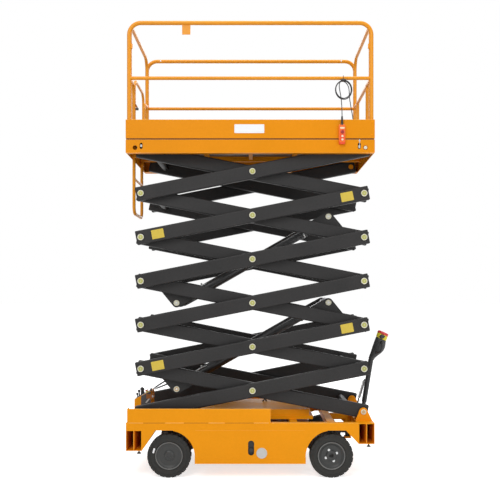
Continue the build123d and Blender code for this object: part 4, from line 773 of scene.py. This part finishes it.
def head_loft(name, sections, material, node):
    """Part of the head, in oval sections, which stands for a CAD node."""
    steps, verts = 40, []
    for along, middle, half_x, half_y in sections:
        for i in range(steps):
            a = 2 * math.pi * i / steps
            verts.append(place(*on_head(along, middle + half_x * math.cos(a), half_y * math.sin(a))))
    piece = add_object(name, verts, tube_faces(len(sections), steps), [material], "drive_handle")
    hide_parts(node)


def head_details():
    """Head, collar and button, with a loop, throttle and paddle each side."""
    head_loft("head_body", GRIP, plastic, "handle_head")
    head_loft("head_band", COLLAR, yellow_plastic, "head_collar")
    head_loft("head_stop", STOP_BUTTON, red_plastic, "head_button")
    for side, sign in SIDES:
        pipe(f"head_loop_{side}", [on_head(along, out, sign * y) for along, out, y in HEAD_LOOP], 12, plastic,
             "drive_handle")
        x, y, z = on_head(252, -4, sign * 40)
        turned(f"head_throttle_{side}", [(0, 0), (0, 21), (20, 21), (27, 17), (29, 9), (29, 0)], (x, y, z),
               (0, sign, 0), plastic, "drive_handle", steps=28)
        brick(f"head_paddle_{side}", x - 30, x + 30, *sorted((sign * 52, sign * 62)), z - 7, z + 7, plastic,
              "drive_handle", 4)


def coil_spring(name, start, end, radius, wire, turns, material):
    """Tension spring between two points, with its ends drawn in."""
    start, end = place(*start), place(*end)
    line = end - start
    turn = line.normalized().to_track_quat("Z", "Y").to_matrix()
    per_turn, ring = 14, 8
    total = turns * per_turn
    verts = []
    for i in range(total + 1):
        t = i / total
        a = 2 * math.pi * i / per_turn
        reach = radius if 0.03 < t < 0.97 else radius * 0.35
        centre = Vector((reach * math.cos(a), reach * math.sin(a), line.length * 1000 * t))
        out = Vector((math.cos(a), math.sin(a), 0))
        for j in range(ring):
            b = 2 * math.pi * j / ring
            rim = out * wire * math.cos(b) + Vector((0, 0, wire * math.sin(b)))
            verts.append(start + turn @ ((centre + rim) / 1000))
    mesh = bpy.data.meshes.new(name)
    mesh.from_pydata([tuple(v) for v in verts], [], tube_faces(total + 1, ring))
    mesh.materials.append(material)
    mesh.polygons.foreach_set("use_smooth", [True] * len(mesh.polygons))
    piece = bpy.data.objects.new(name, mesh)
    scene.collection.objects.link(piece)
    return piece


def handle_details():
    """Sleeve round the handle, and the spring that stands between the column and it."""
    turned("handle_sleeve", [(0, 0), (0, 22), (3, 24.5), (424, 24.5), (432, 21), (432, 0)], on_handle(70),
           (math.sin(LEAN_BACK), 0, math.cos(LEAN_BACK)), handle_paint, "drive_handle", steps=40)
    pipe("spring_post", [(1052, 0, 556), (1058, 0, 590), (1066, 0, 628), (1071, 0, 650)], 7, black_paint,
         "steering_column")
    near, far = on_handle(286, -14), on_handle(286, -34)
    brick("spring_lug", far[0] - 5, near[0] + 6, -5, 5, 824, 840, black_paint, "drive_handle", 2)
    spring = coil_spring("handle_spring", SPRING_LOW, SPRING_HIGH, 12.5, 2.8, 22, spring_steel)
    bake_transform(spring)


head_details()
handle_details()


# ---- platform ----------------------------------------------------------------------------------
SLOT_ROD_X = 996.0
GROOVE_Y, PLATFORM_END = 556.0, 1132.0
SIGN_REAR, SIGN_FRONT, SIGN_BOTTOM, SIGN_TOP, RIVET_INSET = -144, 128, 3150, 3230, 10
RIVETS = tuple((x, z) for z in (SIGN_BOTTOM + RIVET_INSET, SIGN_TOP - RIVET_INSET)
               for x in (SIGN_REAR + RIVET_INSET, SIGN_FRONT - RIVET_INSET))
TOE_BOLTS = tuple((x, up) for x in (-1108, 1108) for up in (22, 142))


def platform_sides():
    """Blank sign plate, toe-board bolts, painted shade in the groove, edge beads painted as highlights and
    the top pins' caps.
    """
    panel("sign_plate", rounded(SIGN_REAR, SIGN_FRONT, SIGN_BOTTOM, SIGN_TOP, 7), -SIDE_FACE - 1.6,
          -SIDE_FACE + 0.4, white_plate, "platform")
    for k, (x, z) in enumerate(RIVETS):
        turned(f"sign_rivet_{k}", [(0, 0), (0, 3), (1.2, 2.6), (1.8, 0)], (x, -SIDE_FACE - 1.5, z),
               (0, -1, 0), steel, "platform", steps=12)
    for side, sign in SIDES:
        for k, (x, up) in enumerate(TOE_BOLTS):
            bolt(f"toe_bolt_{k}_{side}", (x, sign * SIDE_FACE, DECK_TOP + up), (0, sign, 0), 6.5, orange,
                 "platform", 4)
        # dark strip in the groove: painted shade
        near, far = sorted((sign * (GROOVE_Y - 0.4), sign * (GROOVE_Y + 0.6)))
        brick(f"groove_shade_{side}", -1129, 1129, near, far, DECK_BOTTOM - 7.4, DECK_TOP - 8.6, shadow_gap_paint,
              "platform", 0)
        # edge beads in the lighter oranges: painted highlights
        for k, (edge, radius, paint) in enumerate((
            (TOE_BOARD_TOP, 1.8, edge_highlight),
            (DECK_BOTTOM - 8, 1.6, edge_dim_highlight),
            (SKIRT_BOTTOM, 1.8, edge_dim_highlight),
        )):
            y, z = sign * (SIDE_FACE - 0.4), edge - radius
            edge_line(f"platform_edge_{k}_{side}", (-PLATFORM_END, y, z), (PLATFORM_END, y, z), radius, paint,
                      "platform")
        turned(f"top_pin_cap_{side}", [(0, 0), (0, 15.5), (2.5, 15.5), (4, 13), (4, 0)],
               (PIVOT_X, sign * (SIDE_FACE - 2), TOP_PIVOT_Z), (0, sign, 0), cap_cream, "platform")


def slot_fittings():
    """Pull rod and catches in the two slots of the right side."""
    pipe("slot_pull_rod", [(SLOT_ROD_X, -560.5, DECK_BOTTOM - 4), (SLOT_ROD_X, -561.5, DECK_BOTTOM - 14),
                           (SLOT_ROD_X, -561.5, TOP_PIVOT_Z + 34), (SLOT_ROD_X, -556, TOP_PIVOT_Z + 20)], 2.6,
         steel, "platform")
    bolt("slot_rod_bolt", (SLOT_ROD_X, -SIDE_FACE, DECK_BOTTOM - 18), (0, -1, 0), 6, steel, "platform", 5)
    for end, x, low, high in (("front", 995, -4, 24), ("rear", -994, 6, 30)):
        brick(f"slot_catch_{end}", x - 9, x + 9, -557, -546, TOP_PIVOT_Z + low, TOP_PIVOT_Z + high, pale_grey,
              "platform", 3)


def rail_fittings():
    """Studs, white as painted highlights, and clips on the posts, the ladder's clamps and the gate's latch.
    """
    for k, (x, way) in enumerate(((-961, -1), (961, 1))):
        # white studs standing for the glints at the rail joints: painted highlight
        turned(f"rail_highlight_stud_{k}", [(-2, 0), (-2, 8), (4, 8), (6, 5), (6, 0)], (x, POST_Y - 19, RAIL_Z),
               (0, -1, 0), white_plate, "platform", steps=20)
        brick(f"post_clip_{k}", *sorted((way * 1091, way * 1076)), -542, -524, 3928, 3972, rail_shaded_orange,
              "platform", 2)
    for k, y in enumerate((-228, 228)):
        brick(f"ladder_clamp_{k}", -1133, -1096, y - 24, y + 24, SKIRT_BOTTOM + 14, SKIRT_BOTTOM + 44,
              rail_shaded_orange, "platform", 3)
    # latch in the dark brownish orange: painted shade
    pipe("gate_latch",
         [(-1120, -292, 3536), (-1108, -294, 3512), (-1090, -294, 3480), (-1074, -292, 3452)], 7,
         shaded_brown_orange, "platform")
    brick("gate_latch_catch", -1090, -1062, -300, -284, 3428, 3450, dark_grey, "platform", 3)


platform_sides()
slot_fittings()
rail_fittings()


# ---- pendant control ---------------------------------------------------------------------------
PENDANT_X, PENDANT_BACK, PENDANT_FRONT = 834.0, -560.0, -589.0
PENDANT_TOP = 3222.0
RELIEF_RINGS, RELIEF_STEP = 12, 5.6


def pendant_relief():
    """Tapered sleeve with rings, round the cable where it enters the pendant."""
    profile = [(-4, 0), (-4, 13), (5, 13), (8, 11)]
    for k in range(RELIEF_RINGS):
        along, radius = 9 + RELIEF_STEP * k, 10.4 - 0.2 * k
        profile += [(along, radius), (along + 3.2, radius), (along + 3.6, radius - 1.6),
                    (along + 5.2, radius - 1.6)]
    profile += [(77.6, 5), (77.6, 0)]
    turned("pendant_relief", profile, (PENDANT_X, PENDANT_BACK - 18, PENDANT_TOP), (0, 0, 1), plastic,
           "platform", steps=28)


def pendant():
    x, back, front = PENDANT_X, PENDANT_BACK, PENDANT_FRONT
    body = panel("pendant_body", rounded(x - 29, x + 29, 3062, PENDANT_TOP, 9), back, front, pendant_orange,
                 "platform", 4)
    panel("pendant_foot", rounded(x - 27, x + 27, 3045.2, 3070, 8), back - 1, front + 2, pendant_red,
          "platform", 3)
    panel("pendant_face", rounded(x - 20, x + 22, 3074, 3176, 9), front + 1, front - 1, pendant_red,
          "platform", 1)
    turned("pendant_stop",
           [(-1, 0), (-1, 20), (1.5, 20), (2.5, 12), (3, 12), (3, 16.5), (6, 16), (7, 11), (7, 0)],
           (836.6, front, 3154), (0, -1, 0), [pendant_orange, stop_red], "platform",
           [0, 0, 0, 0, 1, 1, 1, 1], 32)
    for k, z in enumerate((3115, 3085)):
        turned(f"pendant_button_{k}", [(-1, 0), (-1, 10), (3.5, 10), (5, 7), (5, 0)], (836, front - 1, z),
               (0, -1, 0), button_cream, "platform", steps=24)
    panel("pendant_window", rounded(x - 18, x + 22, 3183, 3198, 6), front + 1, front - 2, button_cream,
          "platform", 1)
    pendant_relief()
    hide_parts("pendant_control")
    return body


# ---- the pendant's cable -----------------------------------------------------------------------
CABLE_DIAMETER = 8.0
COIL_X, COIL_TOP, COIL_Y = 851.0, 3637.0, -517.0
COIL_STEP = 8.6                 # from turn to turn, towards the outside
# middle in X, half width and half height where each loose turn begins and ends
COIL_TURNS = ((842, 68, 84), (864, 73, 78), (846, 74, 85), (862, 74, 91), (849, 79, 87))
POINTS_PER_TURN = 14


def cable_points():
    """Route from the deck's gland over the coil at the mid rail and down into the pendant."""
    points = [
        (946.0, -526.0, DECK_TOP + 42), (945, -528, 3232), (938, -532, 3300), (920, -533, 3400),
        (908, -527, 3480), (907, -521, 3540), (902, -518, 3584), (882, -517, 3619),
    ]
    for k, ends in enumerate(zip(COIL_TURNS, COIL_TURNS[1:])):
        for i in range(POINTS_PER_TURN):
            part = i / POINTS_PER_TURN
            middle, across, down = (a + (b - a) * part for a, b in zip(*ends))
            angle = 2 * math.pi * part
            lean = (1 - math.cos(angle)) / 2
            points.append((
                COIL_X + (middle - COIL_X) * lean - across * math.sin(angle),
                COIL_Y - COIL_STEP * (k + part),
                COIL_TOP - down * (1 - math.cos(angle)),
            ))
    points += [
        (850, -551.4, 3637), (828, -553.5, 3626.5), (813, -556, 3605), (810, -559, 3573), (818, -563, 3522),
        (827, -566, 3470), (832, -568, 3410), (834, -575, 3350), (834, -578, 3290), (834, -577, 3186),
    ]
    return [place(*point) for point in points]


def coil_tie():
    """Flat band round the coil's strands, along X."""
    y, half_x, half_y, half_z, sides = -534, 23, 25, 9, 24

    def flattened(value):
        return math.copysign(abs(value) ** 0.6, value)

    verts = []
    for way in (-1, 1):
        for i in range(sides):
            a = 2 * math.pi * i / sides
            verts.append(place(COIL_X + way * half_x, y + half_y * flattened(math.cos(a)),
                           COIL_TOP + half_z * flattened(math.sin(a))))
    add_object("coil_tie", verts, tube_faces(2, sides), [plastic], "platform")


def coil_wire():
    """Ring of wire round the mid rail, which holds the coil up."""
    angles = [math.radians(-100 + 20 * i) for i in range(19)]
    pipe("coil_wire", [(COIL_X, -POST_Y + 21 * math.cos(a), 3661 + 22 * math.sin(a)) for a in angles], 1.6,
         plastic, "platform")


pendant_body = pendant()
coil_tie()
coil_wire()
route = cable_points()
cable = spline_curve("control_cable", route, CABLE_DIAMETER / 2000, cable_rubber, "platform")
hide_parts("pendant_cable", "cable_coil")
